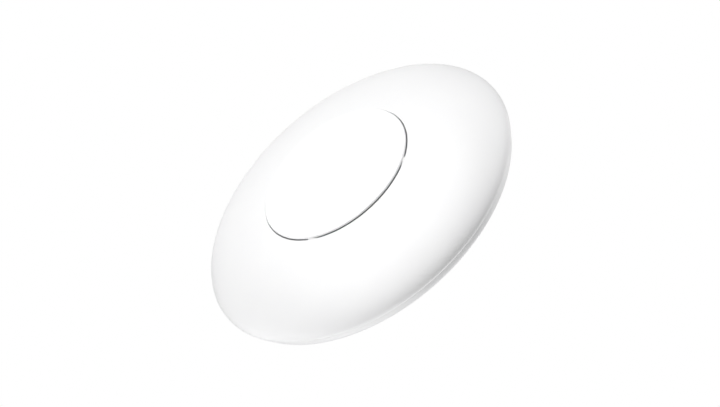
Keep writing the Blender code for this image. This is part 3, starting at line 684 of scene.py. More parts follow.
@dataclass(frozen=True)
class WorkedMetal(Finish):
    """A bare or plated metal whose surface keeps the marks of how it was drawn, rolled or turned.

    Attributes:
        lay: the way the marks run.
        mark: spacing of the marks, drawn coarser than the real 0.02 to 0.1 mm.
        patch: size of the patches of passivation or tarnish.
        depth: depth of the marks.
    """

    lay: Lay = Lay.DRAWN
    mark: float = 0.3
    patch: float = 9.0
    depth: float = 0.012

    def dress(self, tree: bpy.types.NodeTree, shader: bpy.types.Node, place: bpy.types.NodeSocket) -> None:
        """Adds patches, worn bright edges and the marks themselves.

        Args:
            tree: the material's node tree.
            shader: its Principled shader.
            place: the point on the surface, in metres.
        """
        if self.lay is Lay.TURNED:
            axes = add_node(tree, "SeparateXYZ", links={"Vector": place})
            flat = add_node(tree, "CombineXYZ", links={"X": axes.outputs["X"], "Y": axes.outputs["Y"]})
            reach = add_node(tree, "VectorMath", {"operation": "LENGTH"}, {0: flat.outputs[0]})
            place_in_marks = add_node(tree, "CombineXYZ",
                                      links={"X": reach.outputs["Value"], "Z": axes.outputs["Z"]}).outputs[0]
        else:
            place_in_marks = place
        along = add_node(tree, "Mapping", {"Scale": self.lay.value}, {"Vector": place_in_marks})
        marks = add_node(tree, "TexNoise", {"Scale": per_size(self.mark), "Detail": 3.0, "Roughness": 0.65},
                         {"Vector": along.outputs[0]})
        patches = add_node(tree, "TexNoise",
                           {"Scale": per_size(self.patch), "Detail": 4.0, "Distortion": 0.6},
                           {"Vector": place})
        edges = add_node(tree, "NewGeometry")
        worn = add_node(tree, "MapRange", {"From Min": 0.52, "From Max": 0.62, "To Min": 0.0, "To Max": 0.5},
                        {"Value": edges.outputs["Pointiness"]})
        both = add_node(tree, "Math", {"operation": "MULTIPLY_ADD"},
                        {0: marks.outputs["Fac"], 2: patches.outputs["Fac"]})
        both.inputs[1].default_value = 0.35
        shade = add_node(tree, "MapRange", {"From Min": 0.42, "From Max": 0.92}, {"Value": both.outputs[0]})
        tarnish = add_node(tree, "Math", {"operation": "SUBTRACT", "use_clamp": True},
                           {0: shade.outputs[0], 1: worn.outputs[0]})
        self.tint(tree, shader, tarnish.outputs[0])
        skin = add_node(tree, "Bump", {"Strength": 0.5, "Distance": self.depth * MM},
                        {"Height": marks.outputs["Fac"]})
        tree.links.new(skin.outputs[0], shader.inputs["Normal"])


@dataclass(frozen=True)
class CastMetal(Finish):
    """A sand-cast alloy, tumbled after casting: grainy skin, darker in its pits, bright on its edges.

    Attributes:
        grit: size of the sand's grains.
        pit: spacing of the small casting pits.
    """

    grit: float = 0.45
    pit: float = 2.2

    def dress(self, tree: bpy.types.NodeTree, shader: bpy.types.Node, place: bpy.types.NodeSocket) -> None:
        """Adds sand grain, pits, tarnish and bright edges.

        Args:
            tree: the material's node tree.
            shader: its Principled shader.
            place: the point on the surface, in metres.
        """
        grains = add_node(tree, "TexNoise", {"Scale": per_size(self.grit), "Detail": 5.0, "Roughness": 0.6},
                          {"Vector": place})
        pits = add_node(tree, "TexVoronoi", {"Scale": per_size(self.pit), "feature": "SMOOTH_F1"},
                        {"Vector": place})
        holes = add_node(tree, "MapRange", {"From Min": 0.0, "From Max": 0.3},
                         {"Value": pits.outputs["Distance"]})
        tarnish = add_node(tree, "TexNoise", {"Scale": per_size(self.pit * 3), "Detail": 4.0},
                           {"Vector": place})
        edges = add_node(tree, "NewGeometry")
        worn = add_node(tree, "MapRange", {"From Min": 0.52, "From Max": 0.62, "To Min": 0.0, "To Max": 0.6},
                        {"Value": edges.outputs["Pointiness"]})
        cover = add_node(tree, "MapRange", {"From Min": 0.35, "From Max": 0.7},
                         {"Value": tarnish.outputs["Fac"]})
        left = add_node(tree, "Math", {"operation": "SUBTRACT", "use_clamp": True},
                        {0: cover.outputs[0], 1: worn.outputs[0]})
        self.tint(tree, shader, left.outputs[0])
        deep = add_node(tree, "Bump", {"Strength": 0.5, "Distance": 0.08 * MM}, {"Height": holes.outputs[0]})
        skin = add_node(tree, "Bump", {"Strength": 0.6, "Distance": 0.06 * MM},
                        {"Height": grains.outputs["Fac"], "Normal": deep.outputs[0]})
        tree.links.new(skin.outputs[0], shader.inputs["Normal"])


@dataclass(frozen=True)
class BulbGlass(Finish):
    """Drawn borosilicate tube, sealed in a flame: clear, with faint draw lines.

    Attributes:
        draw: spacing of the draw lines.
    """

    draw: float = 0.4

    def dress(self, tree: bpy.types.NodeTree, shader: bpy.types.Node, place: bpy.types.NodeSocket) -> None:
        """Makes the glass clear and adds its draw lines and its faint tint.

        Args:
            tree: the material's node tree.
            shader: its Principled shader.
            place: the point on the surface, in metres.
        """
        shader.inputs["Transmission Weight"].default_value = 1.0
        along = add_node(tree, "Mapping", {"Scale": (1.0, 1.0, 0.05)}, {"Vector": place})
        lines = add_node(tree, "TexNoise", {"Scale": per_size(self.draw), "Detail": 1.0},
                         {"Vector": along.outputs[0]})
        self.tint(tree, shader, lines.outputs["Fac"])
        skin = add_node(tree, "Bump", {"Strength": 0.15, "Distance": 0.01 * MM},
                        {"Height": lines.outputs["Fac"]})
        tree.links.new(skin.outputs[0], shader.inputs["Normal"])


@dataclass(frozen=True)
class DyedLiquid(Finish):
    """The bulb's dyed alcohol: a deep red that light still passes through.

    Attributes:
        cloud: size of the clouds of stronger dye.
    """

    cloud: float = 4.0

    def dress(self, tree: bpy.types.NodeTree, shader: bpy.types.Node, place: bpy.types.NodeSocket) -> None:
        """Makes the liquid clear and varies its dye a little.

        Args:
            tree: the material's node tree.
            shader: its Principled shader.
            place: the point on the surface, in metres.
        """
        shader.inputs["Transmission Weight"].default_value = 0.75
        dye = add_node(tree, "TexNoise", {"Scale": per_size(self.cloud), "Detail": 2.0}, {"Vector": place})
        self.tint(tree, shader, dye.outputs["Fac"])


@dataclass(frozen=True)
class MattPaint(Finish):
    """Matt emulsion on a studio floor: pale, with a faint roller texture.

    Attributes:
        glow: strength of the light that the floor gives off itself.
        patch: size of the uneven patches.
        stipple: spacing of the roller's stipple.
    """

    glow: float = 0.5
    patch: float = 400.0
    stipple: float = 3.0

    def dress(self, tree: bpy.types.NodeTree, shader: bpy.types.Node, place: bpy.types.NodeSocket) -> None:
        """Adds the roller's stipple and its faint unevenness.

        Args:
            tree: the material's node tree.
            shader: its Principled shader.
            place: the point on the surface, in metres.
        """
        shader.inputs["Emission Color"].default_value = linear(self.colour)
        shader.inputs["Emission Strength"].default_value = self.glow
        patches = add_node(tree, "TexNoise", {"Scale": per_size(self.patch), "Detail": 3.0},
                           {"Vector": place})
        self.tint(tree, shader, patches.outputs["Fac"])
        stipple = add_node(tree, "TexNoise", {"Scale": per_size(self.stipple), "Detail": 2.0},
                           {"Vector": place})
        skin = add_node(tree, "Bump", {"Strength": 0.05, "Distance": 0.2 * MM},
                        {"Height": stipple.outputs["Fac"]})
        tree.links.new(skin.outputs[0], shader.inputs["Normal"])


# Flame-retardant ABS, moulded: reads as a soft, even white. ABS refracts at 1.54.
WHITE_ABS = MouldedPlastic("moulded_abs", "white_plastic", "#ECECEC", "#E8E8E9", 0.34, 0.42, ior=1.54)
# Polyester powder on steel: a touch whiter and glossier than the ABS.
WHITE_POWDER = PowderCoat("powder_coated_steel", "white_paint", "#F8F8F9", "#F5F5F6", 0.27, 0.34, ior=1.5)
# Carbon-filled EPDM: near-black, and grey where it has bloomed.
BLACK_EPDM = MouldedRubber("moulded_epdm", "gasket_rubber", "#1D1D1F", "#3A3A3C", 0.72, 0.9, ior=1.52)
# Steel, deep drawn and then bright zinc plated: cool grey with a faint blue passivation.
DRAWN_ZINC = WorkedMetal("zinc_plated_drawn_steel", "zinc_steel", "#CDD2D6", "#A9B1BA", 0.24, 0.4, 1.0)
# Carbon steel screws and washers, barrel plated: the same zinc, rubbed in the barrel.
BARREL_ZINC = WorkedMetal("barrel_zinc_plated_steel", "zinc_steel", "#D2D4D2", "#A8AAA6", 0.26, 0.45, 1.0,
                          lay=Lay.TURNED, mark=0.25, patch=3.0, depth=0.015)
# Stainless spring strip, cold rolled: bright, with fine lines along the strip.
SPRING_STRIP = WorkedMetal("rolled_stainless_strip", "spring_steel", "#C6C6C4", "#9FA0A0", 0.16, 0.3, 1.0,
                           lay=Lay.ROLLED, mark=0.2, patch=5.0, depth=0.006)
# Stainless rod, ground: bright pins with rings left by grinding.
GROUND_ROD = WorkedMetal("ground_stainless_rod", "spring_steel", "#CBCBC9", "#A6A7A7", 0.14, 0.26, 1.0,
                         lay=Lay.TURNED, mark=0.2, patch=4.0, depth=0.005)
# Leaded brass, sand cast: yellow, grainy, and brown in its hollows.
CAST_BRASS = CastMetal("cast_brass", "brass", "#D9B46A", "#9C7637", 0.33, 0.55, 1.0)
# The same brass where it is turned or milled: clean yellow with fine rings.
TURNED_BRASS = WorkedMetal("turned_brass", "brass", "#E3C27A", "#B8924E", 0.17, 0.33, 1.0,
                           lay=Lay.TURNED, mark=0.28, patch=7.0, depth=0.012)
# Half-hard brass sheet, stamped: the deflector, a little duller than turned brass.
STAMPED_BRASS = WorkedMetal("stamped_brass_sheet", "brass", "#DDBA70", "#A98446", 0.24, 0.42, 1.0,
                            lay=Lay.ROLLED, mark=0.35, patch=6.0, depth=0.008)
# Phosphor bronze, turned: warm and pinkish.
TURNED_BRONZE = WorkedMetal("turned_bronze", "copper_alloy", "#D99C72", "#A9683F", 0.18, 0.34, 1.0,
                            lay=Lay.TURNED, mark=0.22, patch=3.0, depth=0.01)
# Nickel alloy spring disc, coined: a warm silver.
COINED_NICKEL = WorkedMetal("coined_nickel_alloy", "nickel", "#CFC7B8", "#A79E8E", 0.2, 0.35, 1.0,
                            lay=Lay.TURNED, mark=0.25, patch=3.0, depth=0.008)
# Fusible bismuth solder, set from a melt: dull grey, lumpy, and stained by flux.
SET_SOLDER = CastMetal("fusible_solder", "solder", "#B5B8BA", "#7F7A6C", 0.38, 0.6, 1.0, grit=0.7, pit=1.1)
# Borosilicate glass refracts at 1.47.
CLEAR_GLASS = BulbGlass("borosilicate_glass", "red_glass", "#FFFFFF", "#F4F7F5", 0.01, 0.03, ior=1.47)
# The dyed alcohol refracts at 1.36.
RED_LIQUID = DyedLiquid("dyed_alcohol", "red_glass", "#D3121C", "#B00A14", 0.02, 0.03, ior=1.36)
# Matt emulsion.
FLOOR_PAINT = MattPaint("matt_floor_paint", "", "#F2F2F1", "#EDEDEC", 0.8, 0.9)


def install(piece: bpy.types.Object, finish: Finish, node: str, *others: str,
            smooth: float = 35) -> bpy.types.Object:
    """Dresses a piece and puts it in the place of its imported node.

    Args:
        piece: the finished object.
        finish: what it is made of.
        node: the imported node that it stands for.
        others: further nodes that it stands for.
        smooth: edges sharper than this many degrees stay sharp in the shading.
    Returns:
        The piece.
    """
    dress(piece, finish, smooth)
    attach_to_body(piece, body_of(node))
    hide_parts(node, *others)
    return piece


def attach(piece: bpy.types.Object, finish: Finish, beside: str, smooth: float = 35) -> bpy.types.Object:
    """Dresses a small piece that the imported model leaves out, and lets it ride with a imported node.

    Args:
        piece: the finished object.
        finish: what it is made of.
        beside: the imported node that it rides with.
        smooth: edges sharper than this many degrees stay sharp in the shading.
    Returns:
        The piece.
    """
    dress(piece, finish, smooth)
    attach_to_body(piece, body_of(beside))
    return piece


def dress(piece: bpy.types.Object, finish: Finish, smooth: float) -> None:
    """Gives a piece its finish and its shading, and reports it.

    Args:
        piece: the finished object.
        finish: what it is made of.
        smooth: edges sharper than this many degrees stay sharp in the shading.
    """
    if piece.data.materials:
        piece.data.materials[0] = finish.material()
    else:
        piece.data.materials.append(finish.material())
    piece.data.shade_smooth()
    piece.data.set_sharp_from_angle(angle=math.radians(smooth))
    log.info("%s: %d faces of %s", piece.name, len(piece.data.polygons), finish.name)


# The escutcheon


@dataclass
class Escutcheon:
    """The white dome, the base ring that it clips on, the ceiling gasket and the spring clips.

    Attributes:
        wall: the dome's wall.
        dome_tilt: slope of the dome where it leaves the opening, in degrees.
        dome_reach: how far the first handle of its curve goes over its width.
        dome_fullness: how far the second handle goes over its height.
        lip_fillet: rounding of the opening's lip.
        lip_drop: how far the rounded lip stands below the face beside it.
        lip_gap: between the plate's edge and the opening.
        collar_wall: wall of the collar round the opening.
        collar_height: its height.
        undercut: how far the rim rounds in below the widest circle.
        undercut_height: and over what height.
        edge_width: flat of the rear edge.
        ribs: count of ribs inside the dome.
        rib_height: their height.
        rib_thickness: their thickness.
        gap: between pieces that touch.
        ring_taper: how far the base ring leans in from its shelf to the ceiling.
        bulge: height of the wall's curve control, as a share of the shelf's height.
        web: the base ring's thickness.
        hole: radius of the ceiling hole in it.
        collar: wall and height of the collar round the hole.
        spigot: the spigot's outer and inner radius.
        groove: the gasket groove's outer and inner radius, and its depth.
        pocket: the rear pockets' inner and outer radius, and their depth.
        pocket_sectors: places for a pocket round the ring.
        pocket_rib: width of the ribs between the pockets.
        pocket_corner: rounding of a pocket's corners.
        slot_radius: circle on which the screw slots lie.
        slot_half: half their width.
        slot_sweep: their sweep, in degrees.
        slot_angles: their directions, in degrees.
        pin_marks: radius and circle of the ejector pins' marks, in the pockets and beside the hole.
        gasket: width and depth of the gasket.
        clip: thickness and width of a spring clip.
        clip_window: radius of the window in its inner leg.
        shell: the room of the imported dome.
        base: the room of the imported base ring.
    """

    wall: float = 2.2
    dome_tilt: float = 7.5
    dome_reach: float = 0.54
    dome_fullness: float = 0.32
    lip_fillet: float = 0.4
    lip_drop: float = 0.28
    lip_gap: float = 0.35
    collar_wall: float = 1.6
    collar_height: float = 6.0
    undercut: float = 1.6
    undercut_height: float = 1.9
    edge_width: float = 0.6
    ribs: int = 12
    rib_height: float = 1.5
    rib_thickness: float = 1.2
    gap: float = 0.3
    ring_taper: float = 4.3
    bulge: float = 0.45
    web: float = 4.6
    hole: float = 34.0
    collar: Pair = (1.8, 9.0)
    spigot: Pair = (82.8, 81.0)
    groove: Triple = (81.4, 78.4, 1.6)
    pocket: Triple = (40.0, 76.0, 2.2)
    pocket_sectors: int = 12
    pocket_rib: float = 2.4
    pocket_corner: float = 2.0
    slot_radius: float = 54.0
    slot_half: float = 2.4
    slot_sweep: float = 9.0
    slot_angles: tuple[float, ...] = (90.0, 210.0, 330.0)
    pin_marks: tuple[Pair, Pair] = ((2.2, 58.0), (1.6, 36.9))
    gasket: Pair = (2.4, 1.3)
    clip: Pair = (0.5, 12.0)
    clip_window: float = 1.3
    shell: Room = field(default_factory=lambda: Room.of("domed_shell"))
    base: Room = field(default_factory=lambda: Room.of("base_ring"))

    @property
    def lip_radius(self) -> float:
        """Radius of the opening, in which the cover plate hangs."""
        return Room.of("cover_plate").radius + self.lip_gap

    def dome(self, count: int) -> Outline:
        """Points of the dome's outside, from the opening's lip to the widest circle.

        Args:
            count: how many points.
        Returns:
            The points.
        """
        start = Vector((self.lip_radius + self.lip_fillet, self.shell.low.z - self.lip_drop))
        end = Vector((self.shell.radius, self.shell.high.z - self.undercut_height))
        tilt = math.radians(self.dome_tilt)
        first = start + Vector((math.cos(tilt), math.sin(tilt))) * (end.x - start.x) * self.dome_reach
        second = end - Vector((0, (end.y - start.y) * self.dome_fullness))
        return interpolate_bezier(start, first, second, end, count)

    def build_shell(self) -> None:
        """The dome with its collar, its rounded lip and the ribs inside it."""
        rim_z = self.shell.high.z - self.undercut_height
        inner = self.shell.radius - self.undercut - self.edge_width
        collar_radius = self.lip_radius + self.collar_wall
        inside = [p for p in offset_curve(self.dome(60), self.wall)
                  if collar_radius + 0.4 < p.x < inner - self.wall / 2]
        lip_centre = Vector((self.lip_radius + self.lip_fillet,
                             self.shell.low.z - self.lip_drop + self.lip_fillet))
        lip = [lip_centre - polar(self.lip_fillet, math.radians(90) * k / 8) for k in range(8)]
        under = [Vector((self.shell.radius - self.undercut * (1 - math.cos(a)),
                         rim_z + self.undercut_height * math.sin(a)))
                 for a in (math.radians(90) * k / 10 for k in range(1, 11))]
        collar_z = self.shell.low.z + self.collar_height
        root_z = inside[0].y
        outline = [*lip, *self.dome(72), *under,
                   *filleted([(inner + self.edge_width, self.shell.high.z), (inner, self.shell.high.z, 0.25),
                              (inner, rim_z - self.wall / 2)], 3)[1:],
                   *reversed(inside), Vector((collar_radius + 0.12, root_z + 0.12)),
                   Vector((collar_radius, root_z + 0.4)),
                   *filleted([(collar_radius, root_z + 0.5), (collar_radius, collar_z, 0.5),
                              (self.lip_radius, collar_z, 0.5), (self.lip_radius, collar_z - 2)], 4)[1:-1]]
        shell = to_object("domed_shell_moulding", lathe(outline, 256))
        reach = [p for p in inside if collar_radius < p.x < self.spigot[1] - 7]
        section = [p - Vector((0, self.wall / 2)) for p in reach]
        section += [p + Vector((0, self.rib_height)) for p in reversed(reach)]
        upright = Matrix.Rotation(math.radians(90), 4, "X")
        ribs = [prism(section, -self.rib_thickness / 2, self.rib_thickness / 2,
                      place=Matrix.Rotation(math.tau * (i + 0.5) / self.ribs, 4, "Z") @ upright)
                for i in range(self.ribs)]
        work(shell, Operation.JOIN, *ribs)
        install(shell, WHITE_ABS, "domed_shell")

    def rear_cutter(self, outline: Outline, depth: float) -> bmesh.types.BMesh:
        """A cutter for the ring's rear face, which leaves a broken edge round its mouth.

        Args:
            outline: the recess in plan.
            depth: how deep it goes.
        Returns:
            The cutter's mesh.
        """
        mouth = 0.25
        wide = offset_closed(outline, 2 * mouth)
        levels = [(outline, -depth), (outline, -mouth), (wide, mouth)]
        mesh = bmesh.new()
        rings = [[mesh.verts.new((p[0], p[1], z)) for p in points] for points, z in levels]
        for low, high in zip(rings, rings[1:]):
            for i in range(len(outline)):
                j = (i + 1) % len(outline)
                mesh.faces.new((low[i], low[j], high[j], high[i]))
        mesh.faces.new(rings[0])
        mesh.faces.new(rings[-1])
        bmesh.ops.recalc_face_normals(mesh, faces=mesh.faces)
        return mesh

    def pocket_outline(self, middle: float) -> Outline:
        """Plan of one rear pocket with rounded corners, about the angle.

        Args:
            middle: the pocket's direction from the axis.
        Returns:
            The plan's points.
        """
        low, high, _ = self.pocket
        corners = []
        for radius, side in ((high, 1), (low, -1)):
            swing = math.pi / self.pocket_sectors - self.pocket_rib / 2 / radius
            corners.append((*polar(radius, middle - swing * side), self.pocket_corner))
            corners += [tuple(polar(radius, middle + swing * side * k / 10)) for k in range(-7, 8)]
            corners.append((*polar(radius, middle + swing * side), self.pocket_corner))
        return filleted(corners, 6)

    def slot_outline(self, middle: float) -> Outline:
        """Plan of one screw slot, which follows a circle and has round ends.

        Args:
            middle: the slot's direction from the axis.
        Returns:
            The plan's points.
        """
        sweep = math.radians(self.slot_sweep)
        width = self.slot_half
        points = []
        for side in (1, -1):
            for k in range(13):
                points.append(polar(self.slot_radius + side * width, middle + side * sweep * (k / 12 - 0.5)))
            end = middle + side * sweep / 2
            centre = polar(self.slot_radius, end)
            turn = end if side > 0 else end + math.pi
            points += [centre + polar(width, turn + math.pi * k / 12) for k in range(1, 12)]
        return points

    def build_base(self) -> None:
        """The base ring, with its shelf, spigot, gasket groove, rear pockets and screw slots."""
        shelf_z = self.shell.high.z + self.gap
        shelf = Vector((self.base.radius, shelf_z))
        foot = Vector((shelf.x - self.ring_taper, 0))
        control = Vector((shelf.x, shelf_z * self.bulge))
        wall = interpolate_bezier(shelf, control, control, foot, 16)
        groove_outer, groove_inner, groove_depth = self.groove
        collar_wall, collar_height = self.collar
        outer, inner = self.spigot
        low = self.base.low.z
        rest = filleted([(foot.x, 0), (groove_outer, 0, 0.25), (groove_outer, -groove_depth, 0.2),
                         (groove_inner, -groove_depth, 0.2), (groove_inner, 0, 0.25), (self.hole, 0, 0.5),
                         (self.hole, -collar_height, 0.5), (self.hole + collar_wall, -collar_height, 0.5),
                         (self.hole + collar_wall, -self.web, 0.8), (inner, -self.web, 0.8),
                         (inner, low, 0.6), (outer, low, 0.8), (outer, shelf_z, 0.5), tuple(shelf)], 4)
        foot_edge = filleted([(wall[-2].x, wall[-2].y), (foot.x, 0, 0.25), (foot.x - 1, 0)], 4)
        shelf_edge = filleted([(outer + 1, shelf_z), (shelf.x, shelf_z, 0.2), (wall[1].x, wall[1].y)], 3)
        outline = [*wall[1:-1], *foot_edge[1:-1], *rest[1:-1], *shelf_edge[1:-1]]
        base = to_object("base_ring_moulding", lathe(outline, 256))
        pitch = math.tau / self.pocket_sectors
        first = math.radians(self.slot_angles[0])
        every = self.pocket_sectors // len(self.slot_angles)
        pocketed = [first + pitch * i for i in range(self.pocket_sectors) if i % every]
        depth = self.pocket[2]
        cutters = [self.rear_cutter(self.pocket_outline(angle), depth) for angle in pocketed]
        cutters += [self.rear_cutter(self.slot_outline(math.radians(angle)), self.web + 1)
                    for angle in self.slot_angles]
        work(base, Operation.CUT, *cutters)
        (mark, mark_circle), (small_mark, small_circle) = self.pin_marks
        marks = [prism(circle(mark, 32, polar(mark_circle, angle)), -depth - 0.2, -depth + 1)
                 for angle in pocketed]
        marks += [prism(circle(small_mark, 24, polar(small_circle, first + pitch * (i + 0.5))), -0.2, 1)
                  for i in range(self.pocket_sectors)]
        work(base, Operation.CUT, *marks)
        install(base, WHITE_ABS, "base_ring")

    def build_gasket(self) -> None:
        """The ceiling gasket: a ring with two rounded lips and a channel between them."""
        room = Room.of("ceiling_gasket")
        width, depth = self.gasket
        inner = room.radius - width
        middle = (room.radius + inner) / 2
        outline = filleted([(room.radius, -depth, 0.2), (room.radius, 0, 0.5), (middle + 0.3, 0, 0.3),
                            (middle, -0.5, 0.2), (middle - 0.3, 0, 0.3), (inner, 0, 0.5),
                            (inner, -depth, 0.2)], 4)
        install(to_object("ceiling_gasket_ring", lathe(outline, 256)), BLACK_EPDM, "ceiling_gasket")

    def build_clips(self) -> None:
        """Four spring clips folded over the spigot, whose crests press on the dome's wall."""
        thickness, width = self.clip
        room = Room.of("shell_clip_1")
        rim_z = self.shell.high.z - self.undercut_height
        inner_wall = self.shell.radius - self.undercut - self.edge_width
        sagitta = width**2 / (8 * inner_wall)
        top = self.base.low.z - self.gap
        outer = self.spigot[0] + self.gap
        crest = inner_wall - sagitta - self.gap - thickness - 0.2
        inner = self.spigot[1] - sagitta - self.gap - 0.2
        path = bent_path([(inner, room.high.z - 0.1), (inner, top, 0.25), (outer, top, 0.25),
                          (outer, top + 0.7, 0.4), (crest, rim_z, 0.7), (outer + 0.2, room.high.z - 0.3)], 5)
        for i in range(1, 5):
            angle = Room.of(f"shell_clip_{i}").angle
            clip = to_object(f"shell_clip_spring_{i}", strip(path, width - 0.1, -thickness, angle))
            break_edges(clip, 0.08)
            outward = Matrix.Rotation(angle, 4, "Z") @ Matrix.Rotation(math.radians(90), 4, "Y")
            hole = prism(circle(self.clip_window, 24), inner - 3, inner + 1.5, place=outward)
            bmesh.ops.translate(hole, vec=(0, 0, top + 2.6), verts=hole.verts)
            work(clip, Operation.CUT, hole)
            install(clip, SPRING_STRIP, f"shell_clip_{i}")

    def build(self) -> None:
        """Builds all the escutcheon's pieces."""
        self.build_shell()
        self.build_base()
        self.build_gasket()
        self.build_clips()


def offset_closed(points: Outline, distance: float) -> Outline:
    """A closed outline grown by the distance, whichever way it runs.

    Args:
        points: the outline.
        distance: how far it grows.
    Returns:
        The grown outline's points.
    """
    area = sum(a.x * b.y - b.x * a.y for a, b in zip(points, points[1:] + points[:1]))
    side = 1 if area > 0 else -1
    grown = []
    for i, point in enumerate(points):
        along = points[(i + 1) % len(points)] - points[i - 1]
        grown.append(point + Vector((along.y, -along.x)).normalized() * distance * side)
    return grown


# What fastens it to the ceiling


@dataclass
class CeilingFixings:
    """The pan-head screws and their washers.

    Attributes:
        shank: radius over the thread.
        head: radius of the head.
        head_height: its height.
        point: length of the screw's point.
        thread_pitch: height of one turn.
        thread_depth: depth of the thread.
        recess: reach and half-width of the cross recess's blades, and its depth.
    """

    shank: float = 1.9
    head: float = 3.9
    head_height: float = 2.5
    point: float = 4.2
    thread_pitch: float = 1.5
    thread_depth: float = 0.55
    recess: Triple = (2.1, 0.55, 1.6)

    def build_screw(self, node: str) -> None:
        """One screw: point, thread, shank, domed pan head and cross recess.

        Args:
            node: the screw's node.
        """
        room = Room.of(node)
        tip, seat = room.high.z, room.low.z + self.head_height
        thread = Thread(self.thread_pitch, self.thread_depth, seat + 2.5, tip - 0.6, 1.2, 0.25)
        taper = tip - self.point
        run = stretch((self.shank, taper), (self.shank, seat + 2.5), self.thread_pitch / 9)
        nose = [(self.shank * math.sin(math.radians(90) * k / 16), tip - self.point * (k / 16) ** 1.15)
                for k in range(16)]
        low = room.low.z
        head = filleted([(self.shank, seat + 2), (self.shank, seat, 0.3), (self.head, seat, 0.3),
                         (self.head, low + 1.0, 0.5), (self.head * 0.72, low, 1.2), (0, low)], 6)
        outline = [*(Vector(p) for p in [*nose, *run[1:]]), *head[1:]]
        screw = to_object(f"{node}_pan_head", lathe(outline, 48, thread.warp, room.centre))
        reach, half, depth = self.recess
        cross = []
        for k in range(4):
            turn = Matrix.Rotation(math.radians(90) * k + room.angle, 2)
            blade = ((reach, -half * 0.8), (reach, half * 0.8), (half * 1.1, half * 1.1))
            cross += [turn @ Vector(p) for p in blade]
        spot = Matrix.Translation((*room.centre, low - 0.4))
        cutter = prism(cross, 0, depth + 0.4, 0.45, spot)
        work(screw, Operation.CUT, cutter)
        install(screw, BARREL_ZINC, node, smooth=30)

    def build_washer(self, node: str, screw: str) -> None:
        """One stamped washer, rounded on the punch's side and sharp on the other.

        Args:
            node: the washer's node.
            screw: the node of the screw that passes through it.
        """
        room, centre = Room.of(node), Room.of(screw).centre
        hole = self.shank + 0.3
        outline = filleted([(room.radius, room.high.z, 0.12), (room.radius, room.low.z, 0.3),
                            (hole, room.low.z, 0.25), (hole, room.high.z, 0.08)], 4)
        install(to_object(f"{node}_stamped", lathe(outline, 64, at=centre)), BARREL_ZINC, node)

    def build(self) -> None:
        """Builds the screws and the washers."""
        for i in range(1, 4):
            self.build_screw(f"ceiling_screw_{i}")
            self.build_washer(f"screw_washer_{i}", f"ceiling_screw_{i}")


# The sprinkler


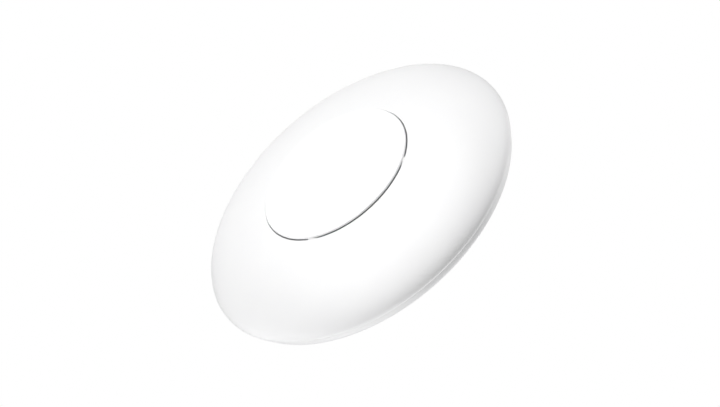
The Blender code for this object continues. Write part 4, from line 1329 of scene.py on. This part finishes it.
@dataclass
class SprinklerFrame:
    """The brass casting: tapered inlet thread, wrench hexagon, neck, flange, arms and knuckle.

    Attributes:
        bore: radius of the waterway.
        thread_radius: radius at the thread's foot.
        thread_pitch: 14 threads to the inch.
        thread_taper: how much the radius falls for each millimetre of height.
        thread_length: its length.
        thread_depth: depth of the thread.
        hex_flats: distance across the hexagon's flats.
        hex_height: its height.
        neck: radius of the neck.
        neck_height: its height.
        flange_thickness: thickness of the flange.
        arm_span: half the distance over the arms.
        arm: width and thickness of an arm.
        knuckle: radius and height of the knuckle.
        screw_hole: radius of the load screw's hole.
        pin_hole: radius of the guide pins' holes.
        room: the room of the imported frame.
    """

    bore: float = 6.3
    thread_radius: float = 10.66
    thread_pitch: float = 25.4 / 14
    thread_taper: float = 1 / 32
    thread_length: float = 13.5
    thread_depth: float = 1.25
    hex_flats: float = 25.4
    hex_height: float = 5.0
    neck: float = 11.0
    neck_height: float = 3.0
    flange_thickness: float = 3.5
    arm_span: float = 15.2
    arm: Pair = (5.0, 3.4)
    knuckle: Pair = (4.6, 6.5)
    screw_hole: float = 2.7
    pin_hole: float = 1.55
    room: Room = field(default_factory=lambda: Room.of("sprinkler_frame"))

    @property
    def hex_z(self) -> float:
        """Height of the hexagon's lower face."""
        return self.room.high.z - self.thread_length - self.hex_height

    def shape(self, radius: float, height: float, angle: float) -> float:
        """Cuts the thread and the hexagon's flats from the turned blank.

        Args:
            radius: the radius before it is shaped.
            height: the point's height.
            angle: its direction from the axis.
        Returns:
            The radius.
        """
        top = self.room.high.z
        foot = self.hex_z + self.hex_height
        if self.hex_z - 0.01 < height < foot + 0.01 and radius > self.neck:
            turn = (angle + math.radians(30)) % math.radians(60) - math.radians(30)
            return min(radius, self.hex_flats / 2 / math.cos(turn))
        if height > foot and radius > self.bore + 2:
            thread = Thread(self.thread_pitch, self.thread_depth, foot, top + 0.3, 1.4, 0.15)
            return thread.warp(radius, height, angle)
        return radius

    def blank(self) -> bmesh.types.BMesh:
        """The turned part: thread, hexagon, neck and flange, bored through.

        Returns:
            The blank's mesh.
        """
        top, foot, low = self.room.high.z, self.hex_z + self.hex_height, self.hex_z
        flange_top = low - self.neck_height
        flange_low = flange_top - self.flange_thickness
        corner = self.hex_flats / math.sqrt(3)
        chamfer = corner - self.hex_flats / 2 + 0.15
        fall = (self.thread_length - 0.8) * self.thread_taper
        end = self.thread_radius - fall
        thread = stretch((end, top - 0.8), (self.thread_radius, foot + 0.01), self.thread_pitch / 12)
        outline = [Vector(p) for p in [(end - 0.9, top), *thread]]
        outline += filleted([(self.thread_radius, foot + 1), (self.thread_radius - 0.2, foot, 0.2),
                             (self.hex_flats / 2 - 0.1, foot)], 3)[1:]
        rise = chamfer * math.tan(math.radians(30))
        outline += [Vector(p) for p in stretch((self.hex_flats / 2, foot), (corner, foot - rise), 0.25)[1:]]
        outline += [Vector(p) for p in stretch((corner, foot - rise), (corner, low + rise), 1.0)[1:]]
        outline += [Vector(p) for p in stretch((corner, low + rise), (self.hex_flats / 2, low), 0.25)[1:]]
        rest = filleted([(self.hex_flats / 2 - 0.1, low), (self.neck, low, 0.5), (self.neck, flange_top, 0.8),
                         (self.room.high.x, flange_top, 0.4), (self.room.high.x, flange_low, 0.4),
                         (self.bore + 3.2, flange_low, 0.2), (self.bore + 2.8, flange_low + 0.3, 0.2),
                         (self.bore + 0.5, flange_low + 0.3, 0.3), (self.bore, flange_low + 1.2, 0.3),
                         (self.bore, top - 1.2, 0.5), (self.bore + 0.9, top)], 4)
        return lathe([*outline, *rest[1:]], 180, self.shape)

    def arms(self) -> list[bmesh.types.BMesh]:
        """The two arms, which swell where they leave the flange and where they meet the knuckle.

        Returns:
            The arms' meshes.
        """
        width, thickness = self.arm
        knuckle_radius, knuckle_height = self.knuckle
        flange_low = self.hex_z - self.neck_height - self.flange_thickness
        top = self.room.low.z + knuckle_height
        span = self.arm_span - thickness / 2
        corners = [(span, flange_low + 1.5), (span - 0.15, flange_low - 2), (span - 0.55, top + 6.5),
                   (span - 0.65, top + thickness / 2, 6.0), (knuckle_radius * 0.6, self.room.low.z + 3.2)]
        points = [Vector((0, p.x, p.y)) for p in even_path(filleted(corners, 14), 40)]
        halves = []
        for i in range(len(points)):
            share = i / (len(points) - 1)
            swell = 0.55 * math.exp(-((share / 0.06) ** 2)) + 0.5 * math.exp(-(((1 - share) / 0.12) ** 2))
            halves.append(Vector((width / 2 + swell * 0.9, thickness / 2 + swell * 0.5)))
        meshes = []
        for k in range(2):
            arm = sweep(points, halves, 28, 0.62)
            turn = Matrix.Rotation(math.pi * k, 3, "Z")
            bmesh.ops.rotate(arm, cent=(0, 0, 0), matrix=turn, verts=arm.verts)
            meshes.append(arm)
        return meshes

    def hub(self) -> bmesh.types.BMesh:
        """The knuckle, with its tapered sides and the hole for the load screw.

        Returns:
            The knuckle's mesh.
        """
        radius, height = self.knuckle
        low = self.room.low.z
        outline = filleted([(self.screw_hole, low, 0.2), (radius, low, 0.6),
                            (radius, low + height * 0.45, 1.5), (radius - 0.9, low + height, 0.6),
                            (self.screw_hole, low + height, 0.2)], 5)
        return lathe(outline, 64)

    def build(self) -> None:
        """Joins the parts of the casting, then drills the holes for the guide pins."""
        frame_piece = to_object("sprinkler_frame_casting", self.blank())
        frame_piece.data.materials.append(TURNED_BRASS.material())
        frame_piece.data.materials.append(CAST_BRASS.material())
        work(frame_piece, Operation.JOIN, *self.arms(), self.hub(), material_index=1)
        flange_top = self.hex_z - self.neck_height
        flange_low = flange_top - self.flange_thickness
        bore = prism(circle(self.screw_hole, 48), self.room.low.z - 1, self.room.low.z + self.knuckle[1] + 1)
        holes = [prism(circle(self.pin_hole, 40, centre), flange_low - 1, flange_top + 1)
                 for centre in pin_centres()]
        work(frame_piece, Operation.CUT, bore, *holes)
        install(frame_piece, TURNED_BRASS, "sprinkler_frame", smooth=32)


def even_path(points: Outline, count: int) -> Outline:
    """The open path again, with its points at even distances.

    Args:
        points: the path.
        count: how many points the result has.
    Returns:
        The evenly spaced points.
    """
    lengths = [0.0]
    for a, b in zip(points, points[1:]):
        lengths.append(lengths[-1] + (b - a).length)
    even = []
    for k in range(count):
        target = lengths[-1] * k / (count - 1)
        i = next(n for n in range(1, len(points)) if lengths[n] >= target - TINY)
        even.append(points[i - 1].lerp(points[i], (target - lengths[i - 1]) / (lengths[i] - lengths[i - 1])))
    return even


@dataclass
class HeatTrain:
    """What holds the outlet shut until it is hot: load screw, bulb, seat cap and disc spring seal.

    Attributes:
        screw_radius: radius over the load screw's thread.
        socket: radius of its hexagon socket, across the corners, and its depth.
        cup: depth of the bulb's seat in the screw.
        bulb_wall: wall of the bulb.
        bubble: radius of the bubble.
    """

    screw_radius: float = 2.4
    socket: Pair = (1.15, 2.4)
    cup: float = 0.7
    bulb_wall: float = 0.28
    bubble: float = 0.6

    def build_load_screw(self) -> None:
        """The load screw: thread, hexagon socket below, and the bulb's seat above."""
        room = Room.of("load_screw")
        low, high = room.low.z, room.high.z
        corner, depth = self.socket

        def shape(radius: float, height: float, angle: float) -> float:
            """Cuts the thread outside and the flats of the socket inside.

            Args:
                radius: the radius before it is shaped.
                height: the point's height.
                angle: its direction from the axis.
            Returns:
                The radius.
            """
            if radius < corner + 0.1 and height < low + depth + 0.05:
                turn = angle % math.radians(60) - math.radians(30)
                return radius * math.cos(math.radians(30)) / math.cos(turn)
            if radius > self.screw_radius * 0.9:
                return Thread(0.8, 0.35, low + 0.2, high - 0.2, 0.5, 0.2).warp(radius, height, angle)
            return radius

        run = stretch((self.screw_radius, high - 0.35), (self.screw_radius, low + 0.35), 0.09)
        outline = [Vector(p) for p in [(0, high - self.cup), (0.7, high - self.cup * 0.85), (1.2, high - 0.3),
                                       (1.45, high), (2.05, high), *run, (2.05, low), (corner + 0.15, low),
                                       (corner, low + 0.15), (corner, low + depth), (0, low + depth + 0.4)]]
        install(to_object("load_screw_set", lathe(outline, 60, shape)), TURNED_BRASS, "load_screw", smooth=30)

    def build_bulb(self) -> None:
        """The glass bulb with its red liquid and the bubble that it leaves."""
        room = Room.of("glass_bulb")
        radius, low, high = room.radius, room.low.z, room.high.z
        middle = (low + high) / 2

        def profile(shrink: float) -> Outline:
            """Half of the bulb's section, from its top to its bottom, made smaller by shrink.

            Args:
                shrink: how far inside the glass it lies.
            Returns:
                The profile's points.
            """
            points = []
            half = (high - low) / 2 - shrink
            for k in range(49):
                t = -1 + 2 * k / 48
                rise = half * math.sin(t * math.radians(90))
                end = max(0.0, (abs(rise) - half + 2.4) / 2.4)
                nib = math.sqrt(max(0.0, 1 - end**2.6)) * 0.78 + 0.22 * math.sqrt(max(0.0, 1 - end**12))
                points.append(Vector(((radius - shrink) * nib, middle - rise)))
            return [Vector((0, points[0].y)), *points[1:-1], Vector((0, points[-1].y))]

        glass = lathe(profile(0), 48)
        cavity = lathe(profile(self.bulb_wall), 48)
        bmesh.ops.reverse_faces(cavity, faces=cavity.faces)
        hollow = bpy.data.meshes.new("cavity")
        cavity.to_mesh(hollow)
        cavity.free()
        glass.from_mesh(hollow)
        bulb = to_object("glass_bulb_tube", glass)
        bpy.data.meshes.remove(hollow)
        install(bulb, CLEAR_GLASS, "glass_bulb", smooth=60)
        liquid = to_object("glass_bulb_liquid", lathe(profile(self.bulb_wall + 0.02), 48))
        top = high - self.bulb_wall - 1.5
        drop = [Vector((self.bubble * math.sin(math.pi * k / 16),
                        top + 1.4 * self.bubble * math.cos(math.pi * k / 16))) for k in range(17)]
        drop[0].x = drop[-1].x = 0
        work(liquid, Operation.CUT, lathe(drop, 32))
        attach(liquid, RED_LIQUID, "glass_bulb", smooth=60)

    def build_cap(self) -> None:
        """The seat cap: the bulb's dimple, a boss, a flange with turned grooves, and the pilot."""
        room = Room.of("seat_cap")
        low, high, radius = room.low.z, room.high.z, room.radius
        seat = high - 2.1
        outline = filleted([(0, high), (2.2, high, 0.2), (2.6, high - 0.4, 0.2), (2.6, seat, 0.15),
                            (4.4, seat, 0.1), (4.5, seat - 0.15, 0.1), (4.9, seat - 0.15, 0.1),
                            (5.0, seat, 0.1), (radius, seat, 0.25), (radius, seat - 1.2, 0.35),
                            (3.2, seat - 1.2, 0.5), (3.0, low, 0.3), (1.1, low, 0.1), (0.9, low + 0.35, 0.2),
                            (0, low + 0.55)], 4)
        install(to_object("seat_cap_button", lathe(outline, 72)), TURNED_BRONZE, "seat_cap")

    def build_seal(self) -> None:
        """The disc spring seal: a shallow cone of nickel alloy."""
        room = Room.of("disc_spring_seal")
        low, high, radius = room.low.z, room.high.z, room.radius
        outline = filleted([(radius, low + 0.04, 0.1), (radius, low + 0.34, 0.1), (2.9, high, 0.1),
                            (2.9, high - 0.32, 0.1)], 3)
        install(to_object("disc_spring_seal_cone", lathe(outline, 96)), COINED_NICKEL, "disc_spring_seal")

    def build(self) -> None:
        """Builds the train from the knuckle up."""
        self.build_load_screw()
        self.build_bulb()
        self.build_cap()
        self.build_seal()


@dataclass
class SupportCup:
    """The drawn steel cup round the sprinkler, and the ring that holds it to the frame.

    Attributes:
        wall: thickness of the sheet.
        fillet: rounding of the shoulder.
        hole: radius of the hole for the hexagon.
        pin_hole: radius of the guide pins' holes.
        vents: count of vents.
        vent: width and height of a vent, and how far below the top it starts.
        ring_inner: inner radius of the retaining ring.
        ring_mouth: the ring's opening, in degrees.
        lug_hole: radius of the plier holes in its lugs.
        lug_share: share of each half of the ring at which it reaches its full width, towards a lug.
        slimming: how much narrower it is opposite its mouth.
        room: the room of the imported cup.
    """

    wall: float = 0.9
    fillet: float = 2.0
    hole: float = 15.16
    pin_hole: float = 1.55
    vents: int = 6
    vent: Triple = (9.0, 5.0, 5.9)
    ring_inner: float = 11.3
    ring_mouth: float = 70.0
    lug_hole: float = 0.75
    lug_share: float = 0.86
    slimming: float = 0.6
    room: Room = field(default_factory=lambda: Room.of("support_cup"))

    def build_cup(self) -> None:
        """The cup, with its rolled thread, vents and holes."""
        radius, low, high = self.room.radius, self.room.low.z, self.room.high.z
        thread = Thread(2.5, 0.3, low + 0.8, low + 11, 2.0, 1.0)
        outer = stretch((radius, high - self.fillet - 0.5), (radius, low + 0.5), 0.25)
        inner = stretch((radius - self.wall, low + 0.5), (radius - self.wall, high - self.fillet - 0.5), 0.25)
        top = filleted([(radius - self.wall, high - self.fillet - 0.5),
                        (radius - self.wall, high - self.wall, self.fillet - self.wall),
                        (self.hole, high - self.wall, 0.25), (self.hole, high, 0.25),
                        (radius, high, self.fillet), (radius, high - self.fillet - 0.5)], 6)
        rim = [Vector((radius - self.wall / 2 + self.wall / 2 * math.cos(a), low + 0.45 - 0.45 * math.sin(a)))
               for a in (math.pi * k / 8 for k in range(1, 8))]
        outline = [*(Vector(p) for p in outer), *rim, *(Vector(p) for p in inner), *top[1:-1]]
        cup = to_object("support_cup_drawn", lathe(outline, 192, thread.warp))
        width, height, drop = self.vent
        window = filleted([(-width / 2, -height / 2, 1.2), (width / 2, -height / 2, 1.2),
                           (width / 2, height / 2, 1.2), (-width / 2, height / 2, 1.2)], 6)
        middle_z = high - drop - height / 2
        cutters = []
        for i in range(self.vents):
            angle = math.tau * (i + 0.5) / self.vents
            place = (Matrix.Translation((0, 0, middle_z)) @ Matrix.Rotation(angle, 4, "Z")
                     @ Matrix(((0, 0, 1, 0), (1, 0, 0, 0), (0, 1, 0, 0), (0, 0, 0, 1))))
            cutters.append(prism(window, radius - 3, radius + 3, place=place))
        cutters += [prism(circle(self.pin_hole, 40, centre), high - 2, high + 1) for centre in pin_centres()]
        work(cup, Operation.CUT, *cutters)
        install(cup, DRAWN_ZINC, "support_cup", smooth=32)

    def build_ring(self) -> None:
        """The retaining ring: a C that is narrower opposite its mouth, with plier holes in its two lugs."""
        room = Room.of("cup_retaining_ring")
        outer = room.high.y
        half = math.radians(360 - self.ring_mouth) / 2
        middle = math.radians(90)
        far = [polar(outer, middle - half + 2 * half * k / 72) for k in range(73)]
        near = []
        for k in range(73):
            thin = 1 - min(1.0, abs(1 - 2 * k / 72) / self.lug_share) ** 3
            inner = self.ring_inner + 0.15 + thin * self.slimming
            near.append(polar(inner, middle + half - 2 * half * k / 72))
        corners = [tuple(p) for p in far] + [tuple(p) for p in near]
        for i in (0, 72, 73, 145):
            corners[i] = (*corners[i][:2], 0.45)
        ring = to_object("cup_retaining_ring_clip", prism(filleted(corners, 4), room.low.z, room.high.z))
        middle_radius = (outer + self.ring_inner) / 2
        holes = [prism(circle(self.lug_hole, 32, polar(middle_radius, middle + side * (half - 0.16))),
                       room.low.z - 1, room.high.z + 1) for side in (1, -1)]
        work(ring, Operation.CUT, *holes)
        break_edges(ring, 0.12)
        install(ring, SPRING_STRIP, "cup_retaining_ring")

    def build(self) -> None:
        """Builds the cup and its ring."""
        self.build_cup()
        self.build_ring()


# The cover


@dataclass
class CoverAssembly:
    """The cover's retainer, its ejector springs, the painted plate and the solder that holds it.

    Attributes:
        wall: thickness of the retainer's sheet.
        sleeve: inner radius of its sleeve.
        flange_z: height of its flange above its lowest point.
        tab_width: width of a tab.
        tab_inset: how far a tab stands inside the flange's edge.
        tab_foot: length of a tab's foot.
        foot_inset: how far a tab's foot stops short of the solder's outer edge.
        spring_end: radius at which the springs end.
        dimples: count of dimples that catch the cup's thread.
        plate_fillet: rounding of its edge.
        plate_back: how far the plate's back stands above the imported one's.
        spring_width: width of an ejector spring.
        spring_thickness: its thickness.
        spring_shape: the spring's bends, as shares of its reach and of its rise.
    """

    wall: float = 0.9
    sleeve: float = 27.5
    flange_z: float = 4.0
    tab_width: float = 7.0
    tab_inset: float = 1.4
    tab_foot: float = 3.6
    foot_inset: float = 1.0
    spring_end: float = 39.0
    dimples: int = 6
    plate_fillet: float = 0.95
    plate_back: float = 0.14
    spring_width: float = 5.0
    spring_thickness: float = 0.5
    spring_shape: tuple[Pair, ...] = ((0, 1), (0.26, 1), (0.52, 0.5), (0.8, 0.02), (1, 0.17))

    def build_retainer(self) -> None:
        """The retainer: a sleeve, a flange with a rounded bend, three tabs and dimples."""
        room = Room.of("cover_retainer")
        top, foot_z = room.high.z, room.low.z
        flange_z = foot_z + self.flange_z
        flange_top = flange_z + self.wall
        foot_end = Room.of("solder_joint_1").high.x - self.foot_inset
        leg = foot_end - self.tab_foot
        edge = leg + self.tab_inset
        outer = self.sleeve + self.wall
        outline = filleted([(self.sleeve, top, 0.35), (outer, top, 0.35), (outer, flange_top, 0.5),
                            (edge, flange_top, 0.35), (edge, flange_z, 0.35),
                            (self.sleeve, flange_z, 1.1)], 6)
        retainer = to_object("cover_retainer_pressing", lathe(outline, 192))
        path = bent_path([(leg, flange_top - 0.3), (leg, foot_z + self.wall, 0.25),
                          (foot_end, foot_z + self.wall)], 5)
        for i in range(1, 4):
            angle = Room.of(f"solder_joint_{i}").angle
            tab = to_object("tab", strip(path, self.tab_width, -self.wall, angle))
            break_edges(tab, 0.12, 2, 50)
            piece = bmesh.new()
            tab.data.transform(Matrix.Scale(1 / MM, 4))
            piece.from_mesh(tab.data)
            bpy.data.objects.remove(tab)
            work(retainer, Operation.JOIN, piece)
        marks = []
        for i in range(self.dimples):
            angle = math.tau * (i + 0.5) / self.dimples
            ball = bmesh.new()
            place = Matrix.Translation((*polar(outer + 0.75, angle), (top + flange_top) / 2 + 1))
            bmesh.ops.create_icosphere(ball, subdivisions=3, radius=1.2, matrix=place)
            marks.append(ball)
        work(retainer, Operation.CUT, *marks)
        install(retainer, DRAWN_ZINC, "cover_retainer", smooth=32)

    def build_springs(self) -> None:
        """Three leaf springs that throw the cover off, each held by a rivet."""
        for i in range(1, 4):
            node = f"ejector_spring_{i}"
            room = Room.of(node)
            angle = math.tau * i / 3 - math.radians(60)
            low, high = room.low.z, room.high.z
            start = self.sleeve + self.spring_thickness
            reach = self.spring_end - start
            root = high - self.spring_thickness
            corners = [(start + reach * x, low + 0.02 + (root - low - 0.02) * rise)
                       for x, rise in self.spring_shape]
            path = bent_path([corners[0], *((*c, 0.9) for c in corners[1:-1]), corners[-1]], 6)
            leaf = strip(path, self.spring_width - 0.1, self.spring_thickness, angle)
            spring = to_object(f"{node}_leaf", leaf)
            break_edges(spring, 0.1)
            install(spring, SPRING_STRIP, node)
            outline = filleted([(0, root), (0.9, root, 0.25), (0.9, root - 0.3, 0.28), (0, root - 0.45)], 4)
            rivet = lathe(outline, 32, at=polar(start + 1.5, angle))
            attach(to_object(f"{node}_rivet", rivet), GROUND_ROD, node)

    def build_plate(self) -> None:
        """The painted plate: a flat disc, with its edge turned over a generous radius on the face's side."""
        room = Room.of("cover_plate")
        radius, face, back = room.radius, room.low.z, room.high.z + self.plate_back
        outline = filleted([(0, back), (radius, back, 0.2), (radius, face, self.plate_fillet), (0, face)], 8)
        faces = [Vector((radius * k / 24, face)) for k in range(23, 0, -1)]
        outline[-1:-1] = faces
        install(to_object("cover_plate_pressing", lathe(outline, 224)), WHITE_POWDER, "cover_plate")

    def build_solder(self) -> None:
        """Three flat blobs of solder with uneven edges and a low crown."""
        for i in range(1, 4):
            node = f"solder_joint_{i}"
            room = Room.of(node)
            low, high, radius = room.low.z, room.high.z, room.radius

            def flow(r: float, z: float, angle: float) -> float:
                """Lets the edge wander where the melt ran."""
                spot = Vector((math.cos(angle), math.sin(angle), i * 3.0)) * 1.4
                return r * (0.93 + 0.07 * noise.noise(spot))

            rows = [Vector((radius * math.sin(math.radians(90) * k / 10),
                            low + (high - low) * (0.45 + 0.55 * math.cos(math.radians(90) * k / 10))))
                    for k in range(11)]
            rows += [Vector((radius * 0.97, low + 0.06)), Vector((radius * 0.9, low)), Vector((0, low))]
            rows[0].x = 0
            blob = lathe(rows, 48, flow, room.centre)
            install(to_object(f"{node}_blob", blob), SET_SOLDER, node, smooth=60)

    def build(self) -> None:
        """Builds the cover's pieces."""
        self.build_retainer()
        self.build_springs()
        self.build_plate()
        self.build_solder()


# The drop-down deflector


@dataclass
class DropDeflector:
    """The deflector and the two guide pins that it falls on, with their stop collars.

    Attributes:
        tines: count of tines.
        slot: width of a slot between two tines.
        hub: radius at which the slots start.
        boss: radius and height of the boss pressed up in the middle.
        tenon: radius of a pin's tenon.
        rivet: radius and height of its rivet head.
    """

    tines: int = 12
    slot: float = 2.4
    hub: float = 10.5
    boss: Pair = (3.4, 0.5)
    tenon: float = 0.8
    rivet: Pair = (1.9, 0.8)

    def build_deflector(self) -> None:
        """The stamped deflector: tines with rounded roots and tips, a pressed boss and a stiffening ring."""
        room = Room.of("deflector")
        low, high, radius = room.low.z, room.high.z, room.radius
        pitch = math.tau / self.tines
        corners = []
        for i in range(self.tines):
            middle = pitch * i
            half = self.slot / 2
            swing = pitch / 2 - half / radius
            corners.append((*polar(radius, middle - swing), 0.5))
            corners += [tuple(polar(radius, middle + swing * k / 5)) for k in range(-3, 4)]
            corners.append((*polar(radius, middle + swing), 0.5))
            direction = middle + pitch / 2
            root = polar(self.hub, direction)
            corners += [tuple(root + polar(half, direction + math.radians(270 - 180 * k / 10)))
                        for k in range(11)]
        plate = to_object("deflector_stamping", prism(filleted(corners, 5), low, high))
        tools = [prism(circle(self.tenon + 0.3, 32, centre), low - 1, high + 1) for centre in pin_centres()]
        groove = filleted([(7.6, high - 0.18), (8.4, high - 0.18, 0.1), (8.7, high + 0.1),
                           (7.3, high + 0.1)], 3)
        tools.append(lathe(groove, 96))
        boss, height = self.boss
        dimple = filleted([(0, low - 0.3), (boss, low - 0.3), (boss - 0.4, low + height * 0.6, 0.2),
                           (0, low + height * 0.6)], 4)
        tools.append(lathe(dimple, 64))
        work(plate, Operation.CUT, *tools)
        rise = filleted([(0, high - 0.3), (boss, high - 0.3), (boss, high, 0.01),
                         (boss - 0.4, high + height, 0.2), (0, high + height)], 5)
        work(plate, Operation.JOIN, lathe(rise, 64))
        break_edges(plate, 0.12)
        install(plate, STAMPED_BRASS, "deflector", smooth=40)

    def build_pin(self, number: int) -> None:
        """One guide pin with its tenon and rivet head, and its crimped stop collar.

        Args:
            number: the pin's number.
        """
        plate, stop = Room.of("deflector"), Room.of(f"pin_stop_{number}")
        pin_room = Room.of(f"guide_pin_{number}")
        centre, top = pin_room.centre, pin_room.high.z
        rivet, rivet_height = self.rivet
        radius = rivet * 1.2 / 1.9
        shoulder = plate.high.z + 0.3
        head_top = pin_room.low.z + rivet_height
        low = pin_room.low.z
        stop_middle = (stop.low.z + stop.high.z) / 2
        corners = [(0, top), (radius, top, 0.35), (radius, stop_middle + 0.5, 0.1),
                   (radius - 0.15, stop_middle + 0.4, 0.1), (radius - 0.15, stop_middle - 0.4, 0.1),
                   (radius, stop_middle - 0.5, 0.1), (radius, shoulder, 0.2), (self.tenon, shoulder, 0.1),
                   (self.tenon, head_top, 0.1), (rivet, head_top, 0.15), (rivet, low + 0.45, 0.15),
                   (rivet * 0.6, low, 0.3), (0, low)]
        outline = filleted(corners, 4)
        pin = to_object(f"guide_pin_{number}_turned", lathe(outline, 40, at=centre))
        install(pin, GROUND_ROD, f"guide_pin_{number}")
        bore = radius + 0.3
        collar = filleted([(stop.radius, stop.high.z, 0.25), (stop.radius, stop.low.z, 0.25),
                           (bore, stop.low.z, 0.15), (bore, stop.high.z, 0.15)], 4)

        def crimp(r: float, z: float, angle: float) -> float:
            """Presses four small dents into the collar's side."""
            dent = max(0.0, 1 - abs(math.sin(2 * angle)) * 3.5) * max(0.0, 1 - abs(z - stop_middle) / 0.5)
            return r - 0.25 * dent if r > bore + 0.5 else r

        side = [Vector((stop.radius, stop.high.z - 0.25 - (stop.high.z - stop.low.z - 0.5) * k / 6))
                for k in range(1, 6)]
        ring = lathe([*collar[:5], *side, *collar[5:]], 48, crimp, stop.centre)
        install(to_object(f"pin_stop_{number}_collar", ring), TURNED_BRASS, f"pin_stop_{number}")

    def build(self) -> None:
        """Builds the deflector and both pins."""
        self.build_deflector()
        for number in (1, 2):
            self.build_pin(number)


# The studio


@dataclass(frozen=True)
class SoftBox:
    """A square studio light with a diffuser.

    Attributes:
        name: the light's name.
        azimuth: where it stands, in degrees round from the camera's side towards +X.
        elevation: how high it stands above the object, in degrees.
        power: in watts.
        sheen_only: whether it shows in reflections and lights nothing else.
        distance: how far off, in metres.
        side: the length of its side, in metres.
    """

    name: str
    azimuth: float
    elevation: float
    power: float
    sheen_only: bool = False
    distance: float = 0.9
    side: float = 0.9

    def build(self, target: Vector) -> None:
        """Hangs the light, aimed at the target, and hides it from the camera.

        Args:
            target: what the light is aimed at, in metres.
        """
        azimuth, elevation = math.radians(self.azimuth), math.radians(self.elevation)
        away = Vector((math.sin(azimuth) * math.cos(elevation), -math.cos(azimuth) * math.cos(elevation),
                       math.sin(elevation)))
        data = bpy.data.lights.new(self.name, "AREA")
        data.shape = "SQUARE"
        data.size = self.side
        data.energy = self.power
        lamp = bpy.data.objects.new(self.name, data)
        lamp.location = target + away * self.distance
        lamp.rotation_euler = (-away).to_track_quat("-Z", "Y").to_euler()
        lamp.visible_camera = False
        lamp.visible_diffuse = not self.sheen_only
        bpy.context.scene.collection.objects.link(lamp)


@dataclass
class Studio:
    """A pale floor, a bright even background, soft boxes and the camera.

    Attributes:
        elevation: the camera's height above the object, in degrees; it looks up from below.
        lean: how far the plate's axis leans to the left of upright in the picture, in degrees.
        distance: from the camera to the plate, in millimetres.
        lens: focal length on a sensor 36 mm wide.
        aim: how far the camera looks to the right of the plate's middle and below it, in millimetres.
        floor_z: height of the floor, in millimetres.
        floor_radius: its radius.
        floor_edge: width of its broken edge, and its thickness.
        fill: brightness of the background as a light.
        soft_boxes: the lights. Each one's power is set for the tone that its side of the object needs.
    """

    elevation: float = -33.73
    lean: float = 40.72
    distance: float = 546.0
    lens: float = 54.3
    aim: Pair = (13.6, 16.4)
    floor_z: float = -1000.0
    floor_radius: float = 9000.0
    floor_edge: Pair = (10.0, 40.0)
    fill: float = 0.18
    soft_boxes: tuple[SoftBox, ...] = (
        SoftBox("low_soft_box", 0, -89, 6.1),
        SoftBox("low_left_soft_box", 240, -50, 2.5),
        SoftBox("left_soft_box", 270, -12, 1.0),
        SoftBox("right_soft_box", 90, -12, 4.1),
        SoftBox("rear_soft_box", 180, -12, 1.3),
        SoftBox("upper_left_soft_box", -90, 30, 5.0),
        SoftBox("upper_right_soft_box", 45, 30, 6.2),
        SoftBox("top_soft_box", 0, 75, 1.8),
        SoftBox("sheen_soft_box", 182, -63, 5.6, sheen_only=True),
    )

    def build_camera(self) -> None:
        """The camera, below the plate and to its front, turned so that the axis leans as it should."""
        plate = Room.of("cover_plate")
        centre = Vector((0, 0, plate.low.z)) * MM
        rise = math.radians(self.elevation)
        back = Vector((0, -math.cos(rise), math.sin(rise)))
        axis = Vector((0, 0, -1))
        upright = (axis - back * axis.dot(back)).normalized()
        sideways = upright.cross(back)
        lean = math.radians(self.lean)
        up = upright * math.cos(lean) + sideways * math.sin(lean)
        right = up.cross(back)
        place = centre + back * self.distance * MM
        target = centre + (right * self.aim[0] - up * self.aim[1]) * MM
        back = (place - target).normalized()
        right = up.cross(back).normalized()
        up = back.cross(right)
        data = bpy.data.cameras.new("camera")
        data.lens = self.lens
        data.sensor_width = 36.0
        data.clip_start = 0.01
        camera = bpy.data.objects.new("camera", data)
        turn = Matrix((right, up, back)).transposed()
        camera.matrix_world = Matrix.Translation(place) @ turn.to_4x4()
        bpy.context.scene.collection.objects.link(camera)
        bpy.context.scene.camera = camera

    def build_world(self) -> None:
        """An even white background, brighter to the camera than as a light."""
        world = bpy.data.worlds.new("studio")
        bpy.context.scene.world = world
        world.use_nodes = True
        tree = world.node_tree
        tree.nodes.clear()
        path = add_node(tree, "LightPath")
        light = add_node(tree, "Background", {"Color": linear("#FFFFFF"), "Strength": self.fill})
        seen = add_node(tree, "Background", {"Color": linear("#FFFFFF"), "Strength": 1.0})
        both = add_node(tree, "MixShader", links={0: path.outputs["Is Camera Ray"], 1: light.outputs[0],
                                                 2: seen.outputs[0]})
        add_node(tree, "OutputWorld", links={"Surface": both.outputs[0]})

    def build_floor(self) -> None:
        """A round matt floor with a broken edge, well below the object, on which it throws no light."""
        radius, top = self.floor_radius, self.floor_z
        edge, thickness = self.floor_edge
        outline = [Vector(p) for p in ((0, top), (radius - edge, top), (radius, top - edge),
                                       (radius, top - thickness), (0, top - thickness))]
        floor = to_object("studio_floor", lathe(outline, 96))
        dress(floor, FLOOR_PAINT, 35)
        floor.visible_diffuse = False

    def build(self) -> None:
        """Builds the studio and sets how the picture is shown."""
        middle = (CAD_BOX[0] + CAD_BOX[1]) / 2
        self.build_camera()
        self.build_world()
        self.build_floor()
        for soft_box in self.soft_boxes:
            soft_box.build(middle)
        bpy.context.scene.view_settings.view_transform = "Standard"
        bpy.context.scene.view_settings.look = "None"


def main() -> None:
    """Builds every sub-assembly in turn, from the ceiling down."""
    logging.basicConfig(level=logging.INFO, format="%(message)s")
    for assembly in (Escutcheon(), CeilingFixings(), SprinklerFrame(), HeatTrain(), SupportCup(),
                     CoverAssembly(), DropDeflector(), Studio()):
        log.info("building %s", type(assembly).__name__)
        assembly.build()


if __name__ == "__main__":
    main()
